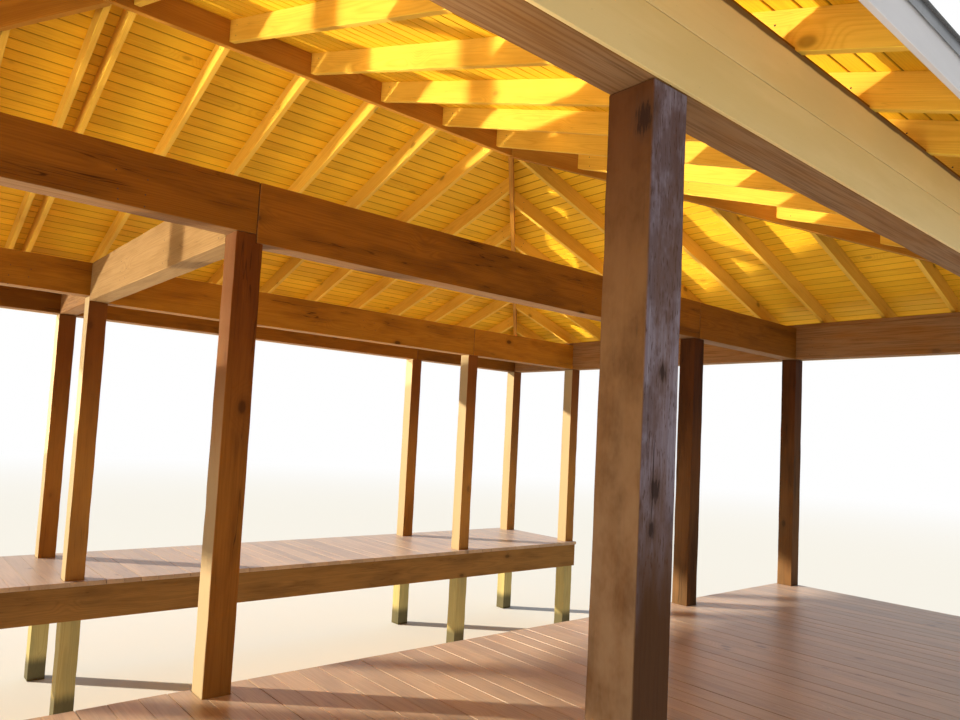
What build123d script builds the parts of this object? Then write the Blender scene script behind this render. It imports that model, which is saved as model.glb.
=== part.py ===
"""Open-sided boathouse: posts standing in the water, a U of decks round one slip, and a hip roof.

X runs along the slip towards its open mouth, Y from the front walk to the back walk, and Z up from
the posts' feet. The origin is at the feet, under the middle of the roof. Sizes are in millimetres.
"""
from math import ceil, floor, sqrt
import os

from build123d import *

# Posts, and the clear spacing of their centres: bays along X, walks and slip along Y
post_side = 152
head_bay = 3990
middle_bay = 4240
mouth_bay = 1880
front_walk = 2560
slip_width = 3125
back_walk = 1165
near_post_shift = 70

# Heights
deck_height = 1150
head_room = 2355

# Deck boards, how far they overhang, and the frames under them
deck_thickness = 38
front_nosing = 18
back_nosing = 23
far_nosing = 38
post_clearance = 3
head_walk = 1880
deck_gap = 3
rim_depth = 286
joist_depth = 184
joist_spacing = 410
board_fit = 0.5

# Beams on the posts, and the flat plate that carries the rafters
beam_width = 152
beam_depth = 330
shallow_beam_depth = 285
beam_joint_gap = 3
beam_joint_offset = 38
plate_width = 140
plate_thickness = 38

# Roof framing, with a rise of 4 in a run of 12
board_thickness = 38
roof_slope = 4 / 12
rafter_depth = 140
rafter_spacing = 590
first_rafter_offset = 170
seat_length = 50
ridge_depth = 184
hip_depth = 184
eave_overhang = 350
mitre_gap = 1

# Roof skin and trim
roof_board_thickness = 19
shingle_thickness = 10
shingle_overhang = 10
cap_thickness = 8
cap_reach = 145
fascia_thickness = 19
drip_thickness = 2
drip_height = 55
cladding_thickness = 12
cladding_groove = 3
cladding_clearance = 2

# Columns of posts from the closed head of the slip to its mouth, and rows from front to back
half_post = post_side / 2
column_span = head_bay + middle_bay + mouth_bay
row_span = front_walk + slip_width + back_walk
head_x = -column_span / 2
second_x = head_x + head_bay
third_x = second_x + middle_bay
mouth_x = column_span / 2
front_y = -row_span / 2
slip_front_y = front_y + front_walk
slip_back_y = slip_front_y + slip_width
back_y = row_span / 2
column_x = [head_x, second_x, third_x, mouth_x]
row_y = {"front": front_y, "slip_front": slip_front_y, "slip_back": slip_back_y, "back": back_y}

# The second post of the front row stands off its column, towards the mouth
near_post_x = second_x + near_post_shift
row_x = {row: column_x for row in row_y}
row_x["front"] = [head_x, near_post_x, third_x, mouth_x]

# Outer faces of the posts, which the beams, the end rims and the ends of the decks share
half_length = mouth_x + half_post
half_width = back_y + half_post

# Levels
frame_top = deck_height - deck_thickness
beam_bottom = deck_height + head_room
beam_top = beam_bottom + beam_depth
shallow_bottom = beam_top - shallow_beam_depth
plate_top = beam_top + plate_thickness

# Roof lines: equal slopes all round, so the hips run at 45 degrees in plan
pitch_stretch = sqrt(1 + roof_slope**2)
hip_stretch = sqrt(1 + roof_slope**2 / 2)
heel = seat_length * roof_slope
rafter_plumb = rafter_depth * pitch_stretch
hip_plumb = hip_depth * hip_stretch
roof_board_plumb = roof_board_thickness * pitch_stretch
shingle_plumb = shingle_thickness * pitch_stretch
cap_plumb = cap_thickness * pitch_stretch
half_board = board_thickness / 2
ridge_end = half_length - half_width
tail_run = eave_overhang - fascia_thickness
joint_x = second_x + beam_joint_offset

os.makedirs("parts", exist_ok=True)


def underside(run):
    """Height of the rafters' underside at a run inwards from the outer face of the beams."""
    return plate_top - heel + run * roof_slope


def save(builder, name):
    """Label a finished piece and write it to its own file."""
    builder.part.label = name
    export_step(builder.part, f"parts/{name}.step")


def front_strip(outer_x, outer_y, width):
    """Plan of the front side of a mitred frame with its outer corners at outer_x and outer_y."""
    end = outer_x - mitre_gap / 2
    return [(-end, -outer_y), (end, -outer_y), (end - width, width - outer_y), (width - end, width - outer_y)]


def mouth_strip(outer_x, outer_y, width):
    """Plan of the mouth side of the same mitred frame."""
    end = outer_y - mitre_gap / 2
    return [(outer_x, -end), (outer_x, end), (outer_x - width, end - width), (outer_x - width, width - end)]


def prism(points, bottom, height):
    """Extrude a plan outline upwards from a level, inside the part that is being built."""
    with BuildSketch(Plane.XY.offset(bottom)) as plan:
        with BuildLine():
            Polyline(*points, close=True)
        make_face()
    extrude(plan.sketch, amount=height)


def mitred_frame(outer_x, outer_y, width, bottom, height):
    """Four mitred boards round the building, which stand a mitre gap apart."""
    with BuildPart() as frame:
        prism(front_strip(outer_x, outer_y, width), bottom, height)
        prism(mouth_strip(outer_x, outer_y, width), bottom, height)
        mirror(about=Plane.XZ)
        mirror(about=Plane.YZ)
    return frame


def box(x_min, x_max, y_min, y_max, bottom, height):
    """A timber with its faces at the given coordinates, inside the part that is being built."""
    prism([(x_min, y_min), (x_max, y_min), (x_max, y_max), (x_min, y_max)], bottom, height)


# Posts: one timber each from the water to the underside of the beams
for row, y in row_y.items():
    for number, x in enumerate(row_x[row], start=1):
        with BuildPart() as post:
            box(x - half_post, x + half_post, y - half_post, y + half_post, 0, beam_bottom)
            if row.startswith("slip") and number == 2:
                # The shallower head beam sits higher, so the post is taller up to the joint
                box(x - half_post, joint_x, y - half_post, y + half_post, beam_bottom,
                    shallow_bottom - beam_bottom)
        save(post, f"{row}_post_{number}")


def walk_deck(name, y_min, y_max, rows):
    """Deck of a walk, let in round the posts of its two rows."""
    with BuildPart() as deck:
        box(-half_length, half_length, y_min, y_max, frame_top, deck_thickness)
        hole_side = post_side + 2 * post_clearance
        with BuildSketch(Plane.XY.offset(frame_top)):
            with Locations(*[(x, row_y[row]) for row in rows for x in row_x[row]]):
                Rectangle(hole_side, hole_side)
        extrude(amount=deck_thickness, mode=Mode.SUBTRACT)
    save(deck, name)


# Decks: the front walk, the back walk, and the one that joins them across the head of the slip
front_deck_edge = slip_front_y + half_post + front_nosing
back_rim_face = slip_back_y - half_post - board_thickness
back_deck_edge = back_rim_face - back_nosing
walk_deck("front_deck", -half_width - front_nosing, front_deck_edge, ["front", "slip_front"])
walk_deck("back_deck", back_deck_edge, half_width + board_thickness + far_nosing, ["slip_back", "back"])

head_deck_edge = head_walk - half_length
with BuildPart() as head_deck:
    box(-half_length, head_deck_edge, front_deck_edge + deck_gap, back_deck_edge - deck_gap,
        frame_top, deck_thickness)
save(head_deck, "head_deck")


rim_bottom = frame_top - rim_depth


def rim(x_min, x_max, y_min, y_max):
    """A board of the full depth under the deck, inside the frame that is being built."""
    box(x_min, x_max, y_min, y_max, rim_bottom, rim_depth)


def joists(x_min, x_max, y_min, y_max):
    """Joists along X, evenly spaced between two faces and no wider apart than joist_spacing."""
    bays = ceil((y_max - y_min) / joist_spacing)
    step = (y_max - y_min) / bays
    for number in range(1, bays):
        y = y_min + number * step
        box(x_min, x_max, y - half_board, y + half_board, frame_top - joist_depth, joist_depth)


def end_rims(y_min, y_max):
    """Rims let in between the posts at both ends of a walk, flush with their outer faces."""
    rim(-half_length, board_thickness - half_length, y_min, y_max)
    rim(half_length - board_thickness, half_length, y_min, y_max)


# Front frame: girders beside the posts, with the rims let in between them, flush with the posts.
# The post off its column stops one girder at its inner face, and a short board packs out the other.
front_inner = front_y + half_post
slip_front_inner = slip_front_y - half_post
slip_front_face = slip_front_y + half_post
outer_rim_back = board_thickness - half_width
with BuildPart() as front_frame:
    for left, right, outer_post_x in zip(column_x, column_x[1:], row_x["front"]):
        near, far = left + half_post, right - half_post
        girder_end = front_inner if outer_post_x > left else -half_width
        rim(near, near + board_thickness, girder_end, slip_front_face)
        rim(far - board_thickness, far, -half_width, slip_front_face)
        start, stop = near + board_thickness + board_fit, far - board_thickness - board_fit
        rim(max(start, outer_post_x + half_post), stop, -half_width, outer_rim_back)
        rim(start, stop, slip_front_face - board_thickness, slip_front_face)
        joists(start, stop, outer_rim_back, slip_front_face - board_thickness)
    rim(second_x - half_post + board_fit, near_post_x - half_post, -half_width, outer_rim_back)
    end_rims(front_inner, slip_front_inner)
save(front_frame, "front_frame")

# Back frame: rims that run past the outside of the posts, with the girders let in between them
slip_back_inner = slip_back_y + half_post
back_inner = back_y - half_post
with BuildPart() as back_frame:
    rim(-half_length, half_length, back_rim_face, back_rim_face + board_thickness)
    rim(-half_length, half_length, half_width, half_width + board_thickness)
    girder_start = back_rim_face + board_thickness + board_fit
    girder_stop = half_width - board_fit
    for left, right in zip(column_x, column_x[1:]):
        near, far = left + half_post, right - half_post
        rim(near, near + board_thickness, girder_start, girder_stop)
        rim(far - board_thickness, far, girder_start, girder_stop)
        start, stop = near + board_thickness + board_fit, far - board_thickness - board_fit
        joists(start, stop, girder_start, girder_stop)
    end_rims(slip_back_inner, back_inner)
save(back_frame, "back_frame")

# Head frame: hung between the two walks, with a header on the slip and one at the building's end
header_face = head_deck_edge - front_nosing
header_back = header_face - board_thickness
end_rim_face = board_thickness - half_length
with BuildPart() as head_frame:
    rim(-half_length, end_rim_face, slip_front_face, back_rim_face)
    rim(header_back, header_face, slip_front_face, back_rim_face)
    joists(end_rim_face + board_fit, header_back - board_fit, slip_front_face, back_rim_face)
save(head_frame, "head_frame")


# Ring beams: mitred over the corner posts, those along the walks butted over the inner posts
def butt_joints(places, y, depth, bottom):
    """Saw through a beam that runs along X at the given places."""
    with BuildSketch(Plane.XY.offset(bottom)) as cuts:
        with Locations(*[(x, y) for x in places]):
            Rectangle(beam_joint_gap, beam_width)
    extrude(cuts.sketch, amount=depth, mode=Mode.SUBTRACT)


def walk_beam(row):
    """Front ring beam, with its joints over the inner posts of a row."""
    with BuildPart() as beam:
        prism(front_strip(half_length, half_width, beam_width), beam_bottom, beam_depth)
        butt_joints(row_x[row][1:3], beam_width / 2 - half_width, beam_depth, beam_bottom)
    return beam


front_beam = walk_beam("front")
save(front_beam, "front_beam")

with BuildPart() as back_beam:
    mirror(walk_beam("back").part, about=Plane.XZ)
save(back_beam, "back_beam")

with BuildPart() as mouth_beam:
    prism(mouth_strip(half_length, half_width, beam_width), beam_bottom, beam_depth)
save(mouth_beam, "mouth_beam")

with BuildPart() as head_beam:
    mirror(mouth_beam.part, about=Plane.YZ)
save(head_beam, "head_beam")

# Slip beams: from end beam to end beam beside the slip, the segment over the head bay shallower
inner_x = half_length - beam_width
half_beam = beam_width / 2
for row in ("slip_front", "slip_back"):
    with BuildPart() as slip_beam:
        y = row_y[row]
        box(-inner_x, joint_x, y - half_beam, y + half_beam, shallow_bottom, shallow_beam_depth)
        box(joint_x, inner_x, y - half_beam, y + half_beam, beam_bottom, beam_depth)
        butt_joints([joint_x, third_x], y, beam_depth, beam_bottom)
    save(slip_beam, f"{row}_beam")

# Tie beams at the second column, across the slip and across the back walk
with BuildPart() as slip_tie:
    box(second_x - half_beam, second_x + half_beam, slip_front_y + half_beam, slip_back_y - half_beam,
        beam_bottom, beam_depth)
save(slip_tie, "slip_tie_beam")

with BuildPart() as walk_tie:
    box(second_x - half_beam, second_x + half_beam, slip_back_y + half_beam, half_width - beam_width,
        beam_bottom, beam_depth)
save(walk_tie, "back_walk_tie_beam")

# Top plate: flat boards on the ring beams, flush with their outer faces
top_plate = mitred_frame(half_length, half_width, plate_width, beam_top, plate_thickness)
save(top_plate, "top_plate")

# Cladding: two courses on the outer face of the ring beams, stopped below the rafters
cladding_top = underside(-cladding_thickness) - cladding_clearance
course_height = (cladding_top - beam_bottom - cladding_groove) / 2
cladding_x = half_length + cladding_thickness
cladding_y = half_width + cladding_thickness
with BuildPart() as cladding:
    for bottom in (beam_bottom, cladding_top - course_height):
        add(mitred_frame(cladding_x, cladding_y, cladding_thickness, bottom, course_height).part)
save(cladding, "beam_cladding")


def hip_plane(x_sign, y_sign, toward, clearance):
    """Upright plane beside the hip of one corner.

    Its normal points into the long slope where toward is 1 and into the end slope where it is -1.
    """
    normal = Vector(-toward * x_sign, toward * y_sign, 0).normalized()
    start = Vector(x_sign * ridge_end, 0, 0) + normal * clearance
    return Plane(origin=start, z_dir=normal)


def trim_long_slope(clearance):
    """Keep what lies on the front slope, between the hips at its two ends."""
    split(bisect_by=hip_plane(1, -1, 1, clearance), keep=Keep.TOP)
    split(bisect_by=hip_plane(-1, -1, 1, clearance), keep=Keep.TOP)


def trim_end_slope(clearance):
    """Keep what lies on the mouth slope, between its two hips."""
    split(bisect_by=hip_plane(1, -1, -1, clearance), keep=Keep.TOP)
    split(bisect_by=hip_plane(1, 1, -1, clearance), keep=Keep.TOP)


def rafter_outline(ridge_run):
    """Side view of a rafter as run and height: plumb tail, birdsmouth on the plate, plumb ridge cut."""
    return [
        (-tail_run, underside(-tail_run)),
        (0, underside(0)),
        (0, plate_top),
        (seat_length, plate_top),
        (ridge_run, underside(ridge_run)),
        (ridge_run, underside(ridge_run) + rafter_plumb),
        (-tail_run, underside(-tail_run) + rafter_plumb),
    ]


# Ridge board, its top bevelled to both slopes
ridge_top = underside(half_width) + rafter_plumb
ridge_shoulder = ridge_top - half_board * roof_slope
ridge_bottom = ridge_top - ridge_depth
with BuildPart() as ridge:
    with BuildSketch(Plane.YZ):
        with BuildLine():
            Polyline((-half_board, ridge_bottom), (half_board, ridge_bottom), (half_board, ridge_shoulder),
                     (0, ridge_top), (-half_board, ridge_shoulder), close=True)
        make_face()
    extrude(amount=ridge_end, both=True)
save(ridge, "ridge_board")

# Front rafters: commons to the ridge and jacks to the hips, one layout along the whole side, and a
# common at the head end of the ridge. The hip planes give the jacks their cheek cuts.
first_rafter_x = ridge_end - first_rafter_offset
lowest = ceil((head_x - first_rafter_x) / rafter_spacing)
highest = floor((mouth_x - first_rafter_x) / rafter_spacing)
layout_x = [first_rafter_x + number * rafter_spacing for number in range(lowest, highest + 1)]
with BuildPart() as front_rafters:
    for x in layout_x + [-ridge_end]:
        with BuildSketch(Plane.YZ.offset(x)):
            with BuildLine():
                Polyline(*[(run - half_width, z) for run, z in rafter_outline(half_width - half_board)],
                         close=True)
            make_face()
        extrude(amount=half_board, both=True)
    trim_long_slope(half_board)
save(front_rafters, "front_rafters")

with BuildPart() as back_rafters:
    mirror(front_rafters.part, about=Plane.XZ)
save(back_rafters, "back_rafters")

# Mouth rafters: a common to the end of the ridge and jacks to the hips on both sides of it
jacks = floor(back_y / rafter_spacing)
with BuildPart() as mouth_rafters:
    for number in range(-jacks, jacks + 1):
        with BuildSketch(Plane.XZ.offset(number * rafter_spacing)):
            with BuildLine():
                Polyline(*[(half_length - run, z) for run, z in rafter_outline(half_width)], close=True)
            make_face()
        extrude(amount=half_board, both=True)
    trim_end_slope(half_board)
save(mouth_rafters, "mouth_rafters")

with BuildPart() as head_rafters:
    mirror(mouth_rafters.part, about=Plane.YZ)
save(head_rafters, "head_rafters")


# Hip rafters: deeper than the others, backed on top to both slopes, let down over the plate's corner
def hip_underside(run):
    """Height of the rafters' underside at a run along the hip from the corner of the beams."""
    return underside(run / sqrt(2))


hip_tail = -(tail_run + board_thickness) * sqrt(2)
hip_heel = -(cladding_thickness + cladding_clearance) * sqrt(2)
hip_seat = (heel + hip_plumb - rafter_plumb) * sqrt(2) / roof_slope
hip_head = half_width * sqrt(2) + board_thickness
hip_outline = [
    (hip_tail, hip_underside(hip_tail)),
    (hip_heel, hip_underside(hip_heel)),
    (hip_heel, plate_top),
    (hip_seat, plate_top),
    (hip_head, hip_underside(hip_head) + rafter_plumb - hip_plumb),
    (hip_head, hip_underside(hip_head) + rafter_plumb),
    (hip_tail, hip_underside(hip_tail) + rafter_plumb),
]
rafter_top = underside(0) + rafter_plumb
with BuildPart() as hips:
    with BuildSketch(Plane(origin=(half_length, -half_width, 0), x_dir=(-1, 1, 0), z_dir=(1, 1, 0))):
        with BuildLine():
            Polyline(*hip_outline, close=True)
        make_face()
    extrude(amount=half_board, both=True)
    # Backing bevels under the roof boards of the front slope and of the mouth slope
    split(bisect_by=Plane(origin=(0, -half_width, rafter_top), z_dir=(0, -roof_slope, 1)), keep=Keep.BOTTOM)
    split(bisect_by=Plane(origin=(half_length, 0, rafter_top), z_dir=(roof_slope, 0, 1)), keep=Keep.BOTTOM)
    # Tail cut to the inside corner of the fascia
    split(bisect_by=Plane(origin=(half_length + tail_run, 0, 0), z_dir=(1, 0, 0)), keep=Keep.BOTTOM)
    split(bisect_by=Plane(origin=(0, -half_width - tail_run, 0), z_dir=(0, -1, 0)), keep=Keep.BOTTOM)
    # Head cut against the end of the ridge, and against the hip of the other side
    split(bisect_by=Plane(origin=(ridge_end, 0, 0), z_dir=(1, 0, 0)), keep=Keep.TOP)
    split(bisect_by=Plane(origin=(0, -mitre_gap / 2, 0), z_dir=(0, -1, 0)), keep=Keep.TOP)
    mirror(about=Plane.XZ)
    mirror(about=Plane.YZ)
save(hips, "hip_rafters")


def long_layer(lift, plumb_thickness, eave_run, gap):
    """Layer of the front slope, with its underside lifted by a plumb height above the rafters' own."""
    low, high = -eave_run, half_width - gap / 2
    corners = [(low, lift), (high, lift), (high, lift + plumb_thickness), (low, lift + plumb_thickness)]
    with BuildPart() as layer:
        with BuildSketch(Plane.YZ):
            with BuildLine():
                Polyline(*[(run - half_width, underside(run) + up) for run, up in corners], close=True)
            make_face()
        extrude(amount=half_length + eave_run, both=True)
        trim_long_slope(gap / 2)
    return layer


def end_layer(lift, plumb_thickness, eave_run, gap):
    """The same layer on the mouth slope."""
    low, high = -eave_run, half_width
    corners = [(low, lift), (high, lift), (high, lift + plumb_thickness), (low, lift + plumb_thickness)]
    with BuildPart() as layer:
        with BuildSketch(Plane.XZ):
            with BuildLine():
                Polyline(*[(half_length - run, underside(run) + up) for run, up in corners], close=True)
            make_face()
        extrude(amount=half_width + eave_run, both=True)
        trim_end_slope(gap / 2)
    return layer


def save_slopes(name, lift, plumb_thickness, eave_run):
    """Write one layer of the roof as a piece for each of its four slopes."""
    front = long_layer(lift, plumb_thickness, eave_run, mitre_gap)
    save(front, f"front_{name}")
    with BuildPart() as back:
        mirror(front.part, about=Plane.XZ)
    save(back, f"back_{name}")
    mouth = end_layer(lift, plumb_thickness, eave_run, mitre_gap)
    save(mouth, f"mouth_{name}")
    with BuildPart() as head:
        mirror(mouth.part, about=Plane.YZ)
    save(head, f"head_{name}")


# Roof boards on the rafters, shingles on the boards, and shingle caps over the ridge and the hips
shingle_lift = rafter_plumb + roof_board_plumb
shingle_run = eave_overhang + drip_thickness + shingle_overhang
save_slopes("roof_boards", rafter_plumb, roof_board_plumb, eave_overhang)
save_slopes("shingles", shingle_lift, shingle_plumb, shingle_run)

cap_lift = shingle_lift + shingle_plumb
hip_span = half_width + shingle_run
with BuildPart() as caps:
    add(long_layer(cap_lift, cap_plumb, shingle_run, 0).part)
    add(end_layer(cap_lift, cap_plumb, shingle_run, 0).part)
    mirror(about=Plane.XZ)
    mirror(about=Plane.YZ)
    with BuildSketch(Plane.XY):
        Rectangle(2 * ridge_end, 2 * cap_reach)
        for x_sign, y_sign in ((-1, -1), (-1, 1), (1, -1), (1, 1)):
            with Locations((x_sign * (ridge_end + hip_span / 2), y_sign * hip_span / 2)):
                Rectangle(hip_span * sqrt(2), 2 * cap_reach, rotation=45 * x_sign * y_sign)
    extrude(amount=2 * plate_top, mode=Mode.INTERSECT)
    # Joints where the cap of the ridge meets those of the hips, and where two hips meet
    with BuildSketch(Plane.XY):
        for x_sign in (-1, 1):
            with Locations((x_sign * ridge_end, 0)):
                Rectangle(mitre_gap, 4 * cap_reach)
            with Locations((x_sign * (ridge_end + cap_reach), 0)):
                Rectangle(2 * cap_reach, mitre_gap)
    extrude(amount=2 * plate_top, mode=Mode.SUBTRACT)
save(caps, "ridge_and_hip_caps")

# Fascia on the rafter tails, up to the roof boards, and a metal drip edge outside both
fascia_bottom = underside(-tail_run)
fascia_top = underside(-eave_overhang) + rafter_plumb
fascia_x = half_length + eave_overhang
fascia_y = half_width + eave_overhang
fascia = mitred_frame(fascia_x, fascia_y, fascia_thickness, fascia_bottom, fascia_top - fascia_bottom)
save(fascia, "fascia")

drip_top = underside(-eave_overhang - drip_thickness) + shingle_lift
drip_edge = mitred_frame(fascia_x + drip_thickness, fascia_y + drip_thickness, drip_thickness,
                         drip_top - drip_height, drip_height)
save(drip_edge, "drip_edge")
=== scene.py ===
# %% [markdown]
# # An open-sided boathouse
#
# A boathouse on sixteen posts: decks round one slip, heavy beams on the posts, and a hip roof that is
# open underneath. The CAD model already holds every timber in its place. This lesson
# turns those plain solids into rough posts, stained beams, golden pine and grey shingles, and works
# from the camera and the light to the timbers, the decks, the roof and the trim.

# %% Load the frame
import math
import random

import bmesh
import bpy
from mathutils import Matrix, Vector, noise


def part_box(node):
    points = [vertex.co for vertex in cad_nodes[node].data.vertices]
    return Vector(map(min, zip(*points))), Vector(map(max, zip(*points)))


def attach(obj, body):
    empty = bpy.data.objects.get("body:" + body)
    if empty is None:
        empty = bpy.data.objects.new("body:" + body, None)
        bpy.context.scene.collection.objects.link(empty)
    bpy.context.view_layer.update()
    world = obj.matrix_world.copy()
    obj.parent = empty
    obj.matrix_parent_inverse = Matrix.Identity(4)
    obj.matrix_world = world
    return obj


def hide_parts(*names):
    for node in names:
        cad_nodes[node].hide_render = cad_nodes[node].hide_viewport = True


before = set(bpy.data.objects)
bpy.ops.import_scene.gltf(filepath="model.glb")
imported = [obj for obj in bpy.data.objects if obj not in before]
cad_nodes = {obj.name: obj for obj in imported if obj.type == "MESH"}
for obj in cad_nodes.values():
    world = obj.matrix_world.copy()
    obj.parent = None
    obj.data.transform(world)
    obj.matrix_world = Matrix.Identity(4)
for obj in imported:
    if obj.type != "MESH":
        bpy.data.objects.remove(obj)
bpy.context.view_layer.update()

# %% [markdown]
# ## Levels and faces
#
# Loose sizes typed in by hand drift away from the model that they came from. Whatever the CAD nodes
# can tell is therefore read from their boxes, and only what they can't tell, such as the slope of the
# roof and the thickness of its layers, is written down here.

# %% Read the levels of the building
deck_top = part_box("front_deck")[1].z
beam_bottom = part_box("front_beam")[0].z
plate_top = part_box("top_plate")[1].z
half_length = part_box("top_plate")[1].x
half_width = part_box("top_plate")[1].y

roof_slope = 4 / 12
pitch_stretch = math.sqrt(1 + roof_slope ** 2)
rafter_seat = 0.050
rafter_plumb = 0.140 * pitch_stretch
board_plumb = 0.019 * pitch_stretch
shingle_plumb = 0.010 * pitch_stretch
eave_overhang = 0.350
shingle_run = 0.362
ridge_end = half_length - half_width
heel_level = plate_top - rafter_seat * roof_slope


def underside(run):
    """Height of the rafters' underside at a run inwards from the outer face of the beams."""
    return heel_level + run * roof_slope


print("deck at", round(deck_top, 3), "beams from", round(beam_bottom, 3), "ridge end at", round(ridge_end, 3))

# %% [markdown]
# ## The camera
#
# The camera stands just outside the front row of posts, at eye height above the deck, and looks in
# under the eave with a wide lens. A camera looks along its own -Z, with X to its right and Y up, so its
# matrix is those three directions as columns. A yaw, a pitch and a roll give them, which is easier to
# read than a rotation in Euler angles.

# %% Place the camera
eye = Vector((-2.602, -4.637, 2.553))
yaw, pitch, roll = (math.radians(angle) for angle in (50.426, 3.841, 2.988))
forward = Vector((math.cos(yaw) * math.cos(pitch), math.sin(yaw) * math.cos(pitch), math.sin(pitch)))
level_right = Vector((math.sin(yaw), -math.cos(yaw), 0))
level_up = level_right.cross(forward)
right = level_right * math.cos(roll) + level_up * math.sin(roll)
up = level_up * math.cos(roll) - level_right * math.sin(roll)

camera_data = bpy.data.cameras.new("camera")
camera_data.lens = 27.48
camera_data.shift_x = 0.0173
camera_data.shift_y = 0.0244
camera = bpy.data.objects.new("camera", camera_data)
camera.matrix_world = Matrix.Translation(eye) @ Matrix((right, up, -forward)).transposed().to_4x4()
bpy.context.scene.collection.objects.link(camera)
bpy.context.scene.camera = camera
bpy.context.scene.view_settings.view_transform = "Standard"
print("camera looks along", [round(part, 3) for part in forward])

# %% [markdown]
# ## Nodes written as Python
#
# A material is a graph, and a graph that is built link by link is hard to read. One small class holds
# a tree and adds any node by its type, its settings and its sockets. Another wraps an output, and its
# operators add Math nodes, so that `1 - mask` reads as it would on paper.


# %% Wires and trees
class Wire:
    """An output of a node. Python's operators on it add Math nodes."""

    def __init__(self, owner, socket):
        self.owner = owner
        self.socket = socket

    def math(self, operation, first, second=0.0):
        return self.owner.node("ShaderNodeMath", {"operation": operation}, {0: first, 1: second})

    def __add__(self, other):
        return self.math("ADD", self, other)

    def __radd__(self, other):
        return self.math("ADD", other, self)

    def __sub__(self, other):
        return self.math("SUBTRACT", self, other)

    def __rsub__(self, other):
        return self.math("SUBTRACT", other, self)

    def __mul__(self, other):
        return self.math("MULTIPLY", self, other)

    def __rmul__(self, other):
        return self.math("MULTIPLY", other, self)

    def __truediv__(self, other):
        return self.math("DIVIDE", self, other)

    def __pow__(self, other):
        return self.math("POWER", self, other)

    def __abs__(self):
        return self.math("ABSOLUTE", self)

    def sine(self):
        return self.math("SINE", self)

    def smooth(self, low, high):
        """0 below low, 1 above high, and a soft step between them. low may be the larger."""
        return self.owner.node("ShaderNodeMapRange", {"interpolation_type": "SMOOTHSTEP"},
                               {0: self, 1: low, 2: high})


class Tree:
    """A node tree with one method that adds any node."""

    def __init__(self, tree):
        self.tree = tree

    def node(self, kind, settings=None, sockets=None, output=0):
        made = self.tree.nodes.new(kind)
        for key, value in (settings or {}).items():
            setattr(made, key, value)
        for key, value in (sockets or {}).items():
            if isinstance(value, Wire):
                self.tree.links.new(value.socket, made.inputs[key])
            else:
                made.inputs[key].default_value = value
        return Wire(self, made.outputs[output]) if len(made.outputs) else made


class Finish(Tree):
    """A material, with the few textures and mixes that the finishes of this building share."""

    def __init__(self, name):
        self.material = bpy.data.materials.new(name)
        self.material.use_nodes = True
        super().__init__(self.material.node_tree)
        self.tree.nodes.clear()

    def attribute(self, name, output=1):
        """A mesh attribute: output 1 is its vector, and 2 its number."""
        return self.node("ShaderNodeAttribute", {"attribute_name": name}, output=output)

    def place(self):
        """Object coordinates, in metres."""
        return self.node("ShaderNodeTexCoord", output=3)

    def stretch(self, vector, factors):
        return self.node("ShaderNodeVectorMath", {"operation": "MULTIPLY"}, {0: vector, 1: factors})

    def length(self, vector):
        return self.node("ShaderNodeVectorMath", {"operation": "LENGTH"}, {0: vector}, output=1)

    def part(self, vector, axis):
        return self.node("ShaderNodeSeparateXYZ", sockets={0: vector}, output=axis)

    def noise(self, vector, detail=2.0, roughness=0.5):
        """Noise with one wave to the unit of the vector, about 0.5 on average."""
        return self.node("ShaderNodeTexNoise", sockets={
            "Vector": vector, "Scale": 1.0, "Detail": detail, "Roughness": roughness})

    def spots(self, vector):
        """Distance to the nearest of one random point to the unit of the vector."""
        return self.node("ShaderNodeTexVoronoi", sockets={"Vector": vector, "Scale": 1.0})

    def blend(self, factor, first, second, kind="MIX"):
        return self.node("ShaderNodeMix", {"data_type": "RGBA", "blend_type": kind},
                         {0: factor, 6: first, 7: second}, output=2)

    def surface(self, colour, roughness, height=None, depth=0.001, **constants):
        """Ends the tree in one shader, with a bump whose full height is depth in metres."""
        sockets = {"Base Color": colour, "Roughness": roughness, **constants}
        if height is not None:
            sockets["Normal"] = self.node("ShaderNodeBump", sockets={"Distance": depth, "Height": height})
        shader = self.node("ShaderNodeBsdfPrincipled", sockets=sockets)
        self.node("ShaderNodeOutputMaterial", sockets={"Surface": shader})
        return self.material


operators = [name for name in vars(Wire) if name.startswith("__") and callable(vars(Wire)[name])]
print("operators that add nodes:", [name for name in operators if name != "__init__"])

# %% [markdown]
# ## Floor, background and light
#
# The object stands on a wide pale floor. Where the camera looks past it, the floor fades into a white
# world, and what lights the object is a separate, weaker value, so a white background never means too
# much light.
#
# The key is a low sun, which reaches in under the eaves. A level mirror below would send the same sun
# up again at the same angle, and that is what lights such a ceiling in bands between the beams. A real
# mirror would show in every view, so two area lamps stand for it: with hardly any spread they shine
# like a second sun, but only through the panel that each of them is. Two soft lamps fill the shade.

# %% Lay the floor and set the lamps
floor_radius = 70.0
fade_from, fade_to = 14.0, 45.0
world_strength = 0.45
sun_strength = 8.4
sun_side = Vector((-0.755, 0.656, 0.0))
sun_rise = math.tan(math.radians(17.7))
mirrored_watts = 6.2
mirrored_panels = {"mirrored_sun": ((-6.086, 5.275, 2.907), 16.0, 4.45),
                   "mirrored_sun_low": ((-5.853, 4.341, 0.434), 2.3, 0.75)}
bounce_watts, floor_watts = 62, 410


def seen_directly(tree):
    """1 for a ray from the camera, or one that it sends on through glass or off metal."""
    paths = [tree.node("ShaderNodeLightPath", output=output) for output in (0, 3, 6)]
    return paths[0].math("MAXIMUM", paths[0], paths[0].math("MAXIMUM", paths[1], paths[2]))


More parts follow.
